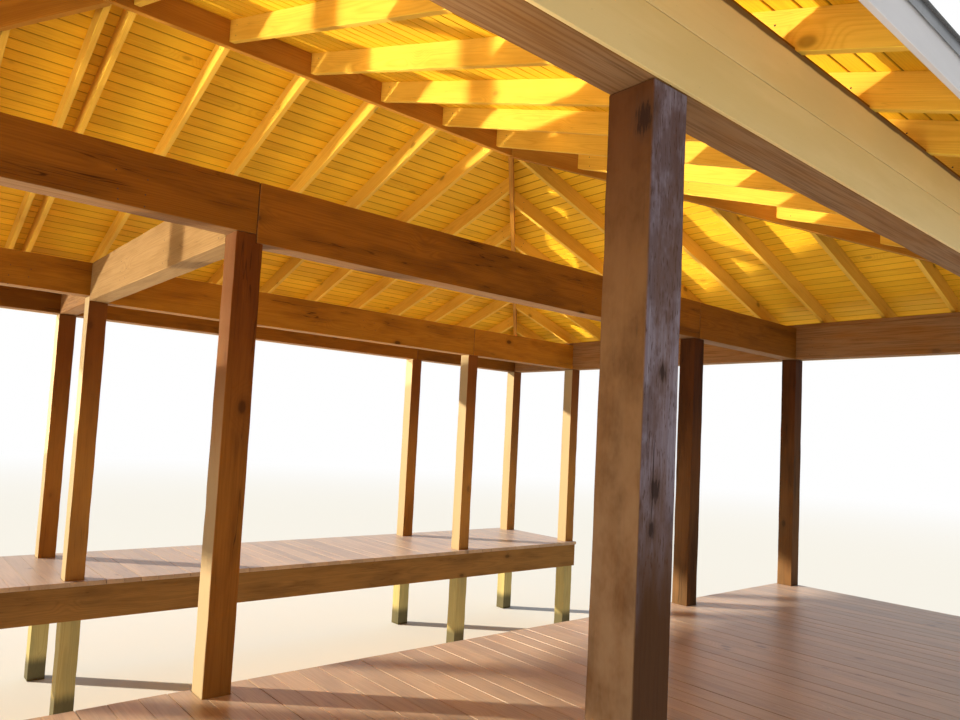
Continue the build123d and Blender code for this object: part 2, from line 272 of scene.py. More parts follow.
floor_mesh = bpy.data.meshes.new("floor")
floor_shape = bmesh.new()
bmesh.ops.create_circle(floor_shape, cap_ends=True, segments=96, radius=floor_radius)
floor_shape.to_mesh(floor_mesh)
floor = bpy.data.objects.new("floor", floor_mesh)
bpy.context.scene.collection.objects.link(floor)
floor_paint = Finish("floor_paint")
distance = floor_paint.length(floor_paint.place())
fade = distance.smooth(fade_from, fade_to) * seen_directly(floor_paint)
matt = floor_paint.node("ShaderNodeBsdfDiffuse", sockets={"Color": (0.82, 0.82, 0.81, 1)})
glow = floor_paint.node("ShaderNodeEmission", sockets={"Color": (1, 1, 1, 1), "Strength": 1.0})
painted_sun = floor_paint.node("ShaderNodeMixShader", sockets={0: fade, 1: matt, 2: glow})
floor_paint.node("ShaderNodeOutputMaterial", sockets={"Surface": painted_sun})
floor_mesh.materials.append(floor_paint.material)

world = bpy.data.worlds.new("studio")
world.use_nodes = True
world.node_tree.nodes.clear()
sky = Tree(world.node_tree)
soft_light = sky.node("ShaderNodeBackground", sockets={
    "Color": (0.74, 0.86, 1.0, 1), "Strength": world_strength})
backdrop = sky.node("ShaderNodeBackground", sockets={"Color": (1, 1, 1, 1), "Strength": 1.0})
chosen = sky.node("ShaderNodeMixShader", sockets={0: seen_directly(sky), 1: soft_light, 2: backdrop})
sky.node("ShaderNodeOutputWorld", sockets={"Surface": chosen})
bpy.context.scene.world = world


def lamp(name, kind, place, aim, energy, colour, **settings):
    """A lamp at a place, turned towards the point that it aims at, and unseen by the camera itself."""
    data = bpy.data.lights.new(name, kind)
    data.energy = energy
    data.color = colour
    for key, value in settings.items():
        setattr(data, key, value)
    made = bpy.data.objects.new(name, data)
    made.location = place
    made.rotation_mode = "QUATERNION"
    made.rotation_quaternion = (Vector(aim) - Vector(place)).to_track_quat("-Z", "Y")
    made.visible_camera = False
    bpy.context.scene.collection.objects.link(made)


upwards = Vector((0, 0, 1))
lamp("key", "SUN", (sun_side + upwards * sun_rise) * 20, (0, 0, 0), sun_strength, (1.0, 0.88, 0.68),
     angle=math.radians(1.5))
rising_ray = upwards * sun_rise - sun_side
for name, (place, wide, high) in mirrored_panels.items():
    lamp(name, "AREA", place, Vector(place) + rising_ray, mirrored_watts * wide * high, (1.0, 0.88, 0.66),
         shape="RECTANGLE", size=wide, size_y=high, spread=math.radians(1.0))
lamp("bounce", "AREA", (-9.5, -1.5, 0.5), (0.0, -0.8, 4.2), bounce_watts, (1.0, 0.84, 0.58),
     shape="RECTANGLE", size=7.0, size_y=2.0, spread=math.radians(50))
lamp("floor_glow", "AREA", (0.0, -2.0, 0.02), (0.0, -2.0, 1.0), floor_watts, (0.96, 0.92, 0.86),
     shape="RECTANGLE", size=18.0, size_y=14.0)

# %% [markdown]
# ## Timber, seen as a tree trunk
#
# Sawn wood looks right when its pattern comes from the trunk that it was cut from. Every timber gets
# its own grain coordinates, in metres: X along the trunk, Y and Z across it from the heart. The rings
# are then circles about the heart, bent a little by noise, and they show as arcs on a wide face and
# as lines on a narrow one. Knots push the rings aside, checks open along the grain, and a stain lies
# unevenly over all of it. The grain and a tone for each board are attributes of the mesh, so one
# finish serves timbers that lie in any direction.
#
# Time is laid on top, and painted light with it. A post is black with wet at its foot, bare of stain
# below the deck, and grey where the rain hits it, with a purple tint of painted sky light. The faces
# that the low sun lights are painted a paler tan, as sunlight, and the tops under the beams are painted
# darker, as shade. So a finish may take a function that ages it and paints that light, by the level of
# a place and by how far each face lies open.


# %% Make a finish for timber
# The blue that tints a sheen, a painted reflection of a blue sky.
sky_blue = (0.22, 0.52, 1.0, 1)
slight_checks = 0.45


def timber_finish(name, pale, dark, stained, ring=0.007, contrast=0.5, blotches=0.5, knots=0.5, checks=0.5,
                  fibres=0.5, tones=0.26, roughness=0.7, gloss=0.10, sky_sheen=0.0, depth=0.001,
                  aged=None):
    """Wood between two colours, with a stain over it.

    ring is a year's growth and depth the height of the relief, both in metres. tones is how far two
    boards differ, gloss the strength of the shine, and sky_sheen that of a blue sheen at a flat angle, a
    painted reflection of a blue sky. aged is a function that lays the marks of time over the wood's
    colour, and for posts and beams painted sunlight and shade as well.
    A bump reads its textures three times over, so the relief has only the fibres and the open checks.
    """
    finish = Finish(name)
    grain = finish.attribute("grain")
    tone = finish.attribute("board", output=2)
    slow = finish.noise(finish.stretch(grain, (0.7, 4.0, 4.0)), detail=2.0)
    knot_distance = finish.spots(finish.stretch(grain, (2.1, 3.6, 3.6)))
    swirl = knot_distance.smooth(0.34, 0.0)
    radius = finish.length(finish.stretch(grain, (0.0, 1.0, 1.0)))
    phase = radius / ring + slow * 9.0 + swirl * 5.0
    rings = (phase * (2 * math.pi)).sine() * 0.5 + 0.5
    late = rings ** 2.2
    streaks = finish.noise(finish.stretch(grain, (2.5, 110.0, 110.0)), detail=3.0, roughness=0.6)
    fibre = finish.noise(finish.stretch(grain, (16.0, 620.0, 620.0)), detail=2.0, roughness=0.6)
    cloud = finish.noise(finish.stretch(grain, (1.3, 7.0, 7.0)), detail=3.0, roughness=0.6)
    knot = knot_distance.smooth(0.105, 0.055) * knots
    knot_rim = knot_distance.smooth(0.19, 0.09) * knots

    wood = finish.blend(late * contrast, pale, dark)
    wood = finish.blend(streaks.smooth(0.42, 0.72) * fibres, wood, dark)
    wood = finish.blend(cloud.smooth(0.42, 0.68) * blotches, wood, stained)
    lightness = 0.92 - tones / 2 + tone * tones + fibre * 0.16
    shade = finish.node("ShaderNodeCombineXYZ", sockets={0: lightness, 1: lightness, 2: lightness})
    wood = finish.blend(1.0, wood, shade, "MULTIPLY")
    deep_brown = tuple(part * 0.30 for part in stained[:3]) + (1,)
    wood = finish.blend(knot_rim * 0.45, wood, stained)
    wood = finish.blend(knot * 0.85, wood, deep_brown)
    if checks:
        crack = finish.noise(finish.stretch(grain, (0.9, 21.0, 21.0)), detail=2.0, roughness=0.45)
        open_crack = (abs(crack - 0.5)).smooth(0.011, 0.002) * cloud.smooth(0.50, 0.62) * checks
        wood = finish.blend(open_crack * 0.9, wood, deep_brown)
    wood = finish.blend(finish.attribute("seam", output=2) * 0.94, wood, deep_brown)
    rubbed = finish.attribute("arris", output=2) * streaks.smooth(0.40, 0.62)
    wood = finish.blend(rubbed * 0.45, wood, tuple(min(1.0, part * 1.7) for part in pale[:3]) + (1,))
    if aged:
        wood = aged(finish, wood, late, streaks, cloud)
    height = 0.55 + fibre * 0.22 + streaks * 0.25
    if checks > slight_checks:
        height = height - open_crack * 0.9
    return finish.surface(wood, roughness + fibre * 0.16 - 0.08, height, depth,
                          **{"Specular IOR Level": gloss, "Sheen Weight": sky_sheen, "Sheen Roughness": 0.35,
                             "Sheen Tint": sky_blue})


# %% Age the posts and the beams, and paint their light and shade
stain_foot, wet_top = 1.08, 0.26
near_post_knots = [((-1.071, -3.470, 3.405), 0.030), ((-0.990, -3.501, 2.735), 0.016),
                   ((-1.006, -3.501, 2.432), 0.022), ((-1.016, -3.501, 2.330), 0.016)]
check_x, check_low, check_high = -1.016, 2.34, 2.58
near_face_y = -3.49
# The tans paint the low sun's light on the faces that it reaches, paler low down and beyond the slip.
sunlit_tan_high, sunlit_tan_low = (0.290, 0.152, 0.062, 1), (0.340, 0.215, 0.120, 1)
sunlit_tan_pale, lighter_brown = (0.43, 0.330, 0.185, 1), (0.55, 0.28, 0.07, 1)
# The first brown here darkens the tops of the posts under the beams: painted shade.
shade_brown, foot_brown = (0.42, 0.27, 0.18, 1), (0.052, 0.017, 0.005, 1)
# The greys are weathering, with a purple tint that is painted sky light in the shade.
rain_and_sky_grey, rain_and_sky_grey_pale = (0.225, 0.175, 0.205, 1), (0.315, 0.265, 0.305, 1)
grey_blotch, grey_fleck = (0.115, 0.066, 0.058, 1), (0.062, 0.030, 0.022, 1)
knot_ring, knot_heart = (0.085, 0.038, 0.018, 1), (0.026, 0.012, 0.008, 1)
check_dark = (0.022, 0.010, 0.006, 1)
bare_pale, bare_late = (0.46, 0.36, 0.135, 1), (0.32, 0.235, 0.078, 1)
bare_green, wet_black = (0.28, 0.25, 0.105, 1), (0.055, 0.048, 0.026, 1)


def lit_and_shaded_post(finish, wood, place, level, blotch):
    """Paints the faces that the low sun lights a paler tan, as sunlight, most beyond the slip and low down;
    makes the posts beyond the slip lighter; and paints the tops under the beams darker, as shade.
    """
    row = finish.part(place, 1)
    inner, beyond_slip = row.smooth(-3.0, -2.0), row.smooth(-1.2, 0.6)
    near_head = finish.part(place, 0).smooth(1.5, -0.5)
    sunlit = finish.attribute("sunlit", output=2) * near_head.math("MAXIMUM", near_head, beyond_slip)
    low_down = inner * level.smooth(3.1, 1.6)
    pale = low_down.math("MAXIMUM", low_down, beyond_slip)
    tan = finish.blend(level.smooth(3.0, 1.9), sunlit_tan_high, sunlit_tan_low)
    tan = finish.blend(pale, tan, sunlit_tan_pale)
    wood = finish.blend(beyond_slip * 0.30, wood, lighter_brown)
    painted_sun = (0.45 + blotch * 0.8 + pale * 0.25).smooth(0.55, 1.0) * (0.80 + pale * 0.14)
    # Painted sunlight: a paler tan, in patches, on the faces that the low sun lights.
    wood = finish.blend(sunlit * painted_sun, wood, tan)
    # Painted shade: the tops of the posts darken under the beams, and on inner posts from lower down.
    outer_shade = level.smooth(2.75, 3.48)
    inner_shade = level.smooth(1.8, 3.3) * (1 - sunlit * pale)
    painted_shade = outer_shade + (inner_shade - outer_shade) * inner
    return finish.blend(painted_shade * 0.92, wood, shade_brown, "MULTIPLY")


def rained_and_sky_lit_post(finish, wood, level, blotch, fleck, streaks, cloud):
    """Rain turns the upper part of an outer face grey and blotchy, and the grey is tinted purple as painted
    sky light in the shade. The lower part of an outer face is made darker.
    """
    # The grey of the rain carries a purple tint of painted sky light.
    grey = finish.blend(streaks.smooth(0.40, 0.70), rain_and_sky_grey, rain_and_sky_grey_pale)
    grey = finish.blend(blotch.smooth(0.42, 0.60) * 0.75, grey, grey_blotch)
    grey = finish.blend(fleck.smooth(0.54, 0.66) * 0.80, grey, grey_fleck)
    outside = finish.attribute("weather", output=2)
    wood = finish.blend(outside * level.smooth(2.75, 2.05) * 0.75, wood, foot_brown)
    rain = outside * (level + cloud * 0.9).smooth(2.40, 3.05)
    return finish.blend(rain * (0.62 + cloud * 0.5).smooth(0.60, 1.0), wood, grey)


def near_post_marks(finish, wood, place, level, fleck, streaks, cloud):
    """The large knots and the long check of the near post, each at its own place."""
    for knot_place, size in near_post_knots:
        near = finish.node("ShaderNodeVectorMath", {"operation": "SUBTRACT"}, {0: place, 1: knot_place})
        away = finish.length(finish.stretch(near, (1.0, 1.0, 0.6)))
        away = away + (streaks - 0.5) * size * 1.1 + (fleck - 0.5) * size * 2.2
        wood = finish.blend(away.smooth(size * 2.0, size * 0.8) * 0.60, wood, knot_ring)
        wood = finish.blend(away.smooth(size, size * 0.50) * 0.85, wood, knot_heart)
    across, sunk = finish.part(place, 0), finish.part(place, 1)
    line = abs(across - check_x + (cloud - 0.5) * 0.030).smooth(0.0026, 0.0008)
    along = level.smooth(check_low, check_low + 0.05) * level.smooth(check_high, check_high - 0.05)
    on_face = sunk.smooth(near_face_y + 0.04, near_face_y)
    return finish.blend(line * along * on_face * 0.9, wood, check_dark)


def post_foot(finish, wood, level, late, streaks, cloud):
    """Below the deck the post was never stained, and its lowest part is wet and black."""
    uneven = level + (streaks - 0.5) * 0.06
    bare = finish.blend(late * 0.4, bare_pale, bare_late)
    bare = finish.blend(cloud.smooth(0.40, 0.65) * 0.5, bare, bare_green)
    wood = finish.blend(uneven.smooth(stain_foot + 0.02, stain_foot - 0.04), wood, bare)
    return finish.blend(uneven.smooth(wet_top, wet_top - 0.12) * 0.85, wood, wet_black)


def aged_and_lit_post(finish, wood, late, streaks, cloud):
    """What years outdoors do to a post, from its sunny side to its foot, with its sunlight and shade painted
    on.
    """
    place = finish.place()
    level = finish.part(place, 2)
    blotch = finish.noise(finish.stretch(place, (9.0, 9.0, 5.0)), detail=4.0, roughness=0.65)
    fleck = finish.noise(finish.stretch(place, (150.0, 150.0, 22.0)), detail=3.0, roughness=0.65)
    wood = lit_and_shaded_post(finish, wood, place, level, blotch)
    wood = rained_and_sky_lit_post(finish, wood, level, blotch, fleck, streaks, cloud)
    wood = near_post_marks(finish, wood, place, level, fleck, streaks, cloud)
    return post_foot(finish, wood, level, late, streaks, cloud)


def lit_beam_faces(finish, wood, late, streaks, cloud):
    """Paints the faces of a beam that the low sun and its reflection light a paler brown, in uneven patches,
    as sunlight.
    """
    # Painted sunlight: a paler brown on the faces that the low sun and its reflection light.
    sunlit = finish.attribute("sunlit", output=2) * (0.55 + cloud * 0.7).smooth(0.60, 1.0)
    painted_sun = finish.blend(streaks.smooth(0.42, 0.66), (0.300, 0.175, 0.085, 1), (0.200, 0.105, 0.045, 1))
    return finish.blend(sunlit * 0.85, wood, painted_sun)


print("knots set by hand on the near post:", len(near_post_knots))

# %% Mix the timber finishes
rough_depth, planed_depth = 0.0022, 0.0008
# The first post finish is for the posts in shade; the second is a lighter copy of it, which paints the light
# on the posts that it reaches.
post_timber = timber_finish(
    "post_timber", (0.165, 0.070, 0.020, 1), (0.092, 0.038, 0.010, 1), (0.064, 0.027, 0.009, 1), ring=0.009,
    contrast=0.16, blotches=0.80, checks=1.0, knots=1.0, fibres=0.60, roughness=0.74,
    depth=rough_depth, aged=aged_and_lit_post)
lit_post_timber = timber_finish(
    "lit_post_timber", (0.350, 0.146, 0.024, 1), (0.225, 0.086, 0.013, 1), (0.170, 0.062, 0.010, 1),
    ring=0.009, contrast=0.22, blotches=0.60, checks=0.8, knots=0.8, fibres=0.55, roughness=0.74,
    depth=rough_depth, aged=aged_and_lit_post)
beam_timber = timber_finish(
    "beam_timber", (0.250, 0.098, 0.009, 1), (0.160, 0.055, 0.004, 1), (0.118, 0.040, 0.004, 1), ring=0.010,
    contrast=0.40, blotches=0.65, checks=0.9, knots=0.9, fibres=0.5, roughness=0.72, depth=rough_depth,
    aged=lit_beam_faces)
far_beam_timber = timber_finish(
    "far_beam_timber", (0.400, 0.170, 0.014, 1), (0.265, 0.098, 0.006, 1), (0.200, 0.072, 0.006, 1),
    ring=0.010, contrast=0.40, blotches=0.60, checks=0.9, knots=0.9, fibres=0.5, roughness=0.72,
    depth=rough_depth, aged=lit_beam_faces)
tie_timber = timber_finish(
    "tie_timber", (0.37, 0.230, 0.095, 1), (0.27, 0.150, 0.052, 1), (0.23, 0.125, 0.042, 1), ring=0.009,
    contrast=0.40, blotches=0.5, checks=0.6, knots=0.8, fibres=0.5, roughness=0.72, depth=rough_depth)
frame_timber = timber_finish(
    "frame_timber", (0.31, 0.155, 0.040, 1), (0.185, 0.087, 0.021, 1), (0.135, 0.062, 0.017, 1), ring=0.007,
    contrast=0.40, blotches=0.5, checks=0.4, knots=0.7, fibres=0.5, roughness=0.75, depth=rough_depth)
# The deck's blue sheen at a flat angle is a painted reflection of a blue sky.
deck_timber = timber_finish(
    "deck_timber", (0.50, 0.335, 0.190, 1), (0.35, 0.210, 0.108, 1), (0.31, 0.185, 0.100, 1), ring=0.008,
    contrast=0.38, blotches=0.42, checks=0.30, knots=0.6, fibres=0.40, tones=0.22, roughness=0.36, gloss=0.30,
    sky_sheen=0.14, depth=planed_depth)
rafter_pine = timber_finish(
    "rafter_pine", (0.86, 0.535, 0.075, 1), (0.66, 0.345, 0.030, 1), (0.62, 0.315, 0.028, 1), ring=0.006,
    contrast=0.35, blotches=0.35, checks=0.2, knots=0.7, fibres=0.30, tones=0.20, roughness=0.55,
    depth=planed_depth)
# The ridge board and the hips take a darker copy of the rafters' pine, which paints the shade they stand in.
shaded_ridge_and_hip_pine = timber_finish(
    "shaded_ridge_and_hip_pine", (0.52, 0.240, 0.030, 1), (0.36, 0.140, 0.014, 1), (0.32, 0.120, 0.012, 1), ring=0.006,
    contrast=0.40, blotches=0.50, checks=0.2, knots=0.7, fibres=0.35, tones=0.22, roughness=0.60,
    depth=planed_depth)
ceiling_pine = timber_finish(
    "ceiling_pine", (0.90, 0.525, 0.026, 1), (0.74, 0.360, 0.011, 1), (0.72, 0.345, 0.011, 1), ring=0.006,
    contrast=0.42, blotches=0.34, checks=0.0, knots=0.5, fibres=0.28, tones=0.18, roughness=0.55,
    depth=planed_depth)
print("timber finishes:", [m.name for m in bpy.data.materials if "timber" in m.name or "pine" in m.name])

# %% [markdown]
# ## From CAD solid to worked timber
#
# A CAD timber has perfect arrises, and a real one never has: even planed pine is eased, and a rough
# post has wane and knocks. Each timber is a copy of its node with doubles merged, its flat faces made
# whole, its arrises bevelled, and then worn. Cuts along the length give the wear somewhere to happen.
# Because the copy starts from the node itself, no joint, birdsmouth or mitre can end up elsewhere.


# %% Work a copy of a CAD timber
same_point, cut_tolerance = 0.0001, 0.00001
flat_angle, arris_angle = math.radians(0.5), math.radians(20)
rain_reach = 0.02


def separate_solids(shape):
    """The vertices of each solid in a mesh, solid by solid."""
    waiting = set(shape.verts)
    found = []
    for start in list(shape.verts):
        if start not in waiting:
            continue
        waiting.discard(start)
        solid, to_visit = [], [start]
        while to_visit:
            vertex = to_visit.pop()
            solid.append(vertex)
            for edge in vertex.link_edges:
                other = edge.other_vert(vertex)
                if other in waiting:
                    waiting.discard(other)
                    to_visit.append(other)
        found.append(solid)
    return found


def reach(vertices, direction):
    places = [vertex.co.dot(direction) for vertex in vertices]
    return max(places) - min(places)


def add_layers(shape):
    """Adds the attributes that the finishes read: grain, board tone, seams, worn arrises, rain and sun."""
    shape.verts.layers.float_vector.new("grain")
    for name in ("board", "seam", "arris", "weather", "sunlit"):
        shape.verts.layers.float.new(name)


def layered_shape():
    """An empty shape that has the attributes from the start, as one that is filled by hand needs them."""
    shape = bmesh.new()
    add_layers(shape)
    return shape


def write_grain(shape, vertices, along, boxed_heart, chance):
    """Writes the grain coordinates and the tone of one timber, with its length along a direction."""
    grain = shape.verts.layers.float_vector["grain"]
    tone = shape.verts.layers.float["board"]
    side = Vector((1, 0, 0)) if abs(along.z) > 0.9 else along.cross(Vector((0, 0, 1))).normalized()
    deep = side.cross(along)
    centre = sum((vertex.co for vertex in vertices), Vector()) / len(vertices)
    if boxed_heart:
        heart = (chance.uniform(-0.03, 0.03), chance.uniform(-0.03, 0.03))
    elif reach(vertices, side) < reach(vertices, deep):
        heart = (chance.choice((-1, 1)) * chance.uniform(0.05, 0.14), chance.uniform(-0.05, 0.05))
    else:
        heart = (chance.uniform(-0.05, 0.05), chance.choice((-1, 1)) * chance.uniform(0.05, 0.14))
    start = chance.uniform(0, 60)
    shade = chance.random()
    for vertex in vertices:
        offset = vertex.co - centre
        vertex[grain] = (offset.dot(along) + start, offset.dot(side) + heart[0], offset.dot(deep) + heart[1])
        vertex[tone] = shade


def cut_along(shape, direction, spacing):
    """Cuts a mesh across, so that a long timber has edges all along it."""
    low = min(vertex.co.dot(direction) for vertex in shape.verts)
    high = max(vertex.co.dot(direction) for vertex in shape.verts)
    for number in range(1, int((high - low) / spacing)):
        geometry = list(shape.verts) + list(shape.edges) + list(shape.faces)
        bmesh.ops.bisect_plane(shape, geom=geometry, dist=cut_tolerance, plane_no=direction,
                               plane_co=direction * (low + number * spacing))


def finished_piece(name, shape, material, slot, *replaced):
    """Turns a shape into a piece of the building that stands for CAD nodes."""
    mesh = bpy.data.meshes.new(name)
    shape.to_mesh(mesh)
    shape.free()
    mesh.materials.append(material)
    piece = bpy.data.objects.new(name, mesh)
    bpy.context.scene.collection.objects.link(piece)
    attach(piece, "root")
    if replaced:
        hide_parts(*replaced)
    return piece


def facing(cosine):
    """1 for a face within 18 degrees of a direction, and 0 from 53 degrees on, given the cosine."""
    return min(1.0, max(0.0, (cosine - 0.6) / 0.35))


def exposure_to_rain(vertex):
    """1 on a face that looks out of the building from its outer row of posts, and 0 inside it."""
    outwards = []
    for along, normal, face in ((vertex.co.x, vertex.normal.x, half_length),
                                (vertex.co.y, vertex.normal.y, half_width)):
        outwards.append(normal * math.copysign(1, along) if abs(along) > face - rain_reach else 0)
    return facing(max(outwards))


def exposure_to_low_sun(vertex):
    """1 on a face towards the head end or downwards, which the low sun and its reflection light, and which
    the finishes paint paler as that light.
    """
    return facing(max(-vertex.normal.x, -vertex.normal.z))


def ease_arrises(shape, arris):
    """Bevels every sharp edge of a shape, and returns the new faces."""
    arrises = [edge for edge in shape.edges if edge.is_manifold and edge.calc_face_angle() > arris_angle]
    return set(bmesh.ops.bevel(shape, geom=arrises, offset=arris, segments=2, profile=0.5, affect="EDGES",
                               clamp_overlap=True)["faces"])


def worked_timber(node, material, slot, directions, arris, wear=0.0, station=0.0, boxed_heart=False):
    """A CAD timber with eased and worn arrises, cut across at every station along it.

    directions are the ways in which its solids may run. boxed_heart says that the heart of the trunk
    is inside each timber, as in a post, and not to one side of it, as in a board.
    """
    shape = bmesh.new()
    shape.from_mesh(cad_nodes[node].data)
    bmesh.ops.remove_doubles(shape, verts=shape.verts, dist=same_point)
    bmesh.ops.dissolve_limit(shape, angle_limit=flat_angle, verts=shape.verts, edges=shape.edges)
    if station:
        cut_along(shape, directions[0], station)
    eased = ease_arrises(shape, arris)
    add_layers(shape)
    shape.normal_update()
    for vertex in shape.verts:
        if all(face in eased for face in vertex.link_faces):
            vertex[shape.verts.layers.float["arris"]] = 1.0
        vertex[shape.verts.layers.float["weather"]] = exposure_to_rain(vertex)
        vertex[shape.verts.layers.float["sunlit"]] = exposure_to_low_sun(vertex)
    if wear:
        for vertex in shape.verts:
            rough = noise.fractal(vertex.co * 5.0, 0.8, 2.2, 4) + 0.35
            vertex.co -= vertex.normal * wear * min(1.0, max(0.0, rough))
    for number, solid in enumerate(separate_solids(shape)):
        along = max(directions, key=lambda direction: reach(solid, direction))
        write_grain(shape, solid, along, boxed_heart, random.Random(f"{node} {number}"))
    return finished_piece(f"{node}_timber", shape, material, slot, node)


along_x, along_y = Vector((1, 0, 0)), Vector((0, 1, 0))
heavy_arris, board_arris, painted_arris = 0.005, 0.003, 0.002
timbers = {}
for node in sorted(name for name in cad_nodes if "_post_" in name):
    # Posts in shade take the first post finish, the others its lighter copy, which is painted light.
    in_shade = node.startswith("front_") or node in ("slip_front_post_3", "slip_front_post_4")
    material = post_timber if in_shade else lit_post_timber
    timbers[node] = worked_timber(node, material, "post_timber", [upwards], heavy_arris, wear=0.0035,
                                  station=0.11, boxed_heart=True)
print("posts:", len(timbers))

# %% [markdown]
# ## Beams
#
# The ring beams and the beams beside the slip are sawn from trunks as thick as the posts, and they are
# stained a warmer brown. The tie across the slip has kept hardly any stain, and the beam beyond the slip
# is lighter than the rest. They run two ways, so each one is cut along its own length.

# %% Work the beams and the plate
beams = {"front_beam": along_x, "back_beam": along_x, "slip_front_beam": along_x, "slip_back_beam": along_x,
         "mouth_beam": along_y, "head_beam": along_y, "slip_tie_beam": along_y, "back_walk_tie_beam": along_y}
for node, direction in beams.items():
    material = {"slip_tie_beam": tie_timber, "slip_back_beam": far_beam_timber}.get(node, beam_timber)
    timbers[node] = worked_timber(node, material, "beam_timber", [direction], heavy_arris, wear=0.003,
                                  station=0.14, boxed_heart=True)
worked_timber("top_plate", beam_timber, "beam_timber", [along_x, along_y], board_arris)
print("beams:", len(beams))

# %% [markdown]
# ## Deck frames and roof frame
#
# The boards of the frames are planed, so their arrises are only eased. A rafter's grain runs up its
# slope: each slope has its own direction, and a hip runs along the diagonal between two slopes.

# %% Work the frames and the rafters
for node in ("front_frame", "back_frame", "head_frame"):
    worked_timber(node, frame_timber, "frame_timber", [along_x, along_y], board_arris)
up_front = Vector((0, 1, roof_slope)).normalized()
up_back = Vector((0, -1, roof_slope)).normalized()
up_mouth = Vector((-1, 0, roof_slope)).normalized()
up_head = Vector((1, 0, roof_slope)).normalized()
hips = [Vector((x_sign, y_sign, roof_slope)).normalized() for x_sign in (-1, 1) for y_sign in (-1, 1)]
rafters = {"front_rafters": [up_front], "back_rafters": [up_back], "mouth_rafters": [up_mouth],
           "head_rafters": [up_head], "hip_rafters": hips, "ridge_board": [along_x]}
for node, directions in rafters.items():
    # The ridge board and the hips are darker as painted shade.
    material = shaded_ridge_and_hip_pine if node in ("ridge_board", "hip_rafters") else rafter_pine
    timbers[node] = worked_timber(node, material, "rafter_pine", directions, board_arris)
print("roof frame:", sorted(rafters))

# %% [markdown]
# ## Deck boards
#
# The decks are boards laid across the walks with a narrow gap between them, cut round the posts. Each
# board starts as a grid of faces on its top, without the faces that a post takes up. The faces merge
# to one outline, which is pulled down to the board's thickness and eased. That makes plain boards,
# boards with a notch, and short ones between a post and an edge with the same few lines.


# %% Lay the decks
def plank(shape, x_low, x_high, y_low, y_high, holes, top, thickness, arris, chance):
    """One deck board with its length along Y, cut round the holes that it meets."""
    met = [hole for hole in holes
           if hole[0] < x_high and hole[1] > x_low and hole[2] < y_high and hole[3] > y_low]
    x_cuts = sorted({x_low, x_high} | {x for hole in met for x in hole[:2] if x_low < x < x_high})
    y_cuts = sorted({y_low, y_high} | {y for hole in met for y in hole[2:] if y_low < y < y_high})
    board = bmesh.new()
    corners = {(x, y): board.verts.new((x, y, top)) for x in x_cuts for y in y_cuts}
    for x, next_x in zip(x_cuts, x_cuts[1:]):
        for y, next_y in zip(y_cuts, y_cuts[1:]):
            middle_x, middle_y = (x + next_x) / 2, (y + next_y) / 2
            if not any(h[0] < middle_x < h[1] and h[2] < middle_y < h[3] for h in met):
                board.faces.new([corners[x, y], corners[next_x, y],
                                 corners[next_x, next_y], corners[x, next_y]])
    loose = [vertex for vertex in board.verts if not vertex.link_faces]
    bmesh.ops.delete(board, geom=loose, context="VERTS")
    pulled = bmesh.ops.extrude_face_region(board, geom=list(board.faces))["geom"]
    lower = [part for part in pulled if isinstance(part, bmesh.types.BMVert)]
    bmesh.ops.translate(board, verts=lower, vec=(0, 0, -thickness))
    bmesh.ops.recalc_face_normals(board, faces=board.faces)
    bmesh.ops.dissolve_limit(board, angle_limit=flat_angle, verts=board.verts, edges=board.edges)
    ease_arrises(board, arris)
    add_layers(board)
    write_grain(board, list(board.verts), along_y, False, chance)
    part = bpy.data.meshes.new("part")
    board.to_mesh(part)
    board.free()
    shape.from_mesh(part)
    bpy.data.meshes.remove(part)


board_pitch = 0.1420
board_gaps = (0.0010, 0.0015, 0.0020, 0.0045)
narrowest_board = 0.02
end_play = 0.002
deck_arris = 0.0018
deck_sink = 0.0012
post_gap = 0.003
posts = {name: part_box(name) for name in cad_nodes if "_post_" in name}
post_holes = [(low.x - post_gap, high.x + post_gap, low.y - post_gap, high.y + post_gap)
              for low, high in posts.values()]


def lay_deck(node, first_x):
    """Covers a deck's node with boards, counted from the mouth towards the head."""
    low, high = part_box(node)
    chance = random.Random(node)
    shape = layered_shape()
    board_x = []
    edge = first_x
    while edge > low.x + narrowest_board:
        x_high = min(edge, high.x)
        x_low = max(edge - board_pitch + chance.choice(board_gaps), low.x)
        if x_high - x_low > narrowest_board:
            sink = chance.uniform(0, deck_sink)
            y_low, y_high = low.y + chance.uniform(0, end_play), high.y - chance.uniform(0, end_play)
            plank(shape, x_low, x_high, y_low, y_high, post_holes, high.z - sink, high.z - low.z - sink,
                  deck_arris, chance)
            board_x.append((x_low, x_high))
        edge -= board_pitch
    print(node, "boards:", len(board_x))
    finished_piece(f"{node}_boards", shape, deck_timber, "deck_timber", node)
    return board_x


board_spans = {node: lay_deck(node, half_length) for node in ("front_deck", "back_deck", "head_deck")}

# %% [markdown]
# ## Ceiling boards
#
# The roof boards are tongue-and-groove, laid along the eaves from hip to hip. From below, each joint
# shows as a fine dark V. One board is a section with six corners, drawn from one end to the other.
# At a hip its end is cut on the diagonal, so each corner of the section ends at its own place. Along
# a row the boards meet over a rafter, and the places of those joints are drawn by lot, row by row.


# %% Line the roof
ceiling_pitch = 0.100
first_board = 0.050
joint_gap = 0.0015
vee = 0.0060
hip_gap = 0.001
rafter_spacing = 0.590
first_long_rafter = ridge_end - 0.170


def slope_point(side, run, along, lift):
    """A point of the slope on one side, at a run inwards, with a plumb lift above the rafters' underside."""
    height = underside(run) + lift
    if side == "front":
        return Vector((along, run - half_width, height))
    if side == "back":
        return Vector((along, half_width - run, height))
    if side == "mouth":
        return Vector((half_length - run, along, height))
    return Vector((run - half_length, along, height))


def hip_reach(side, run):
    """How far a slope reaches to each side at a run."""
    return (half_length if side in ("front", "back") else half_width) - run


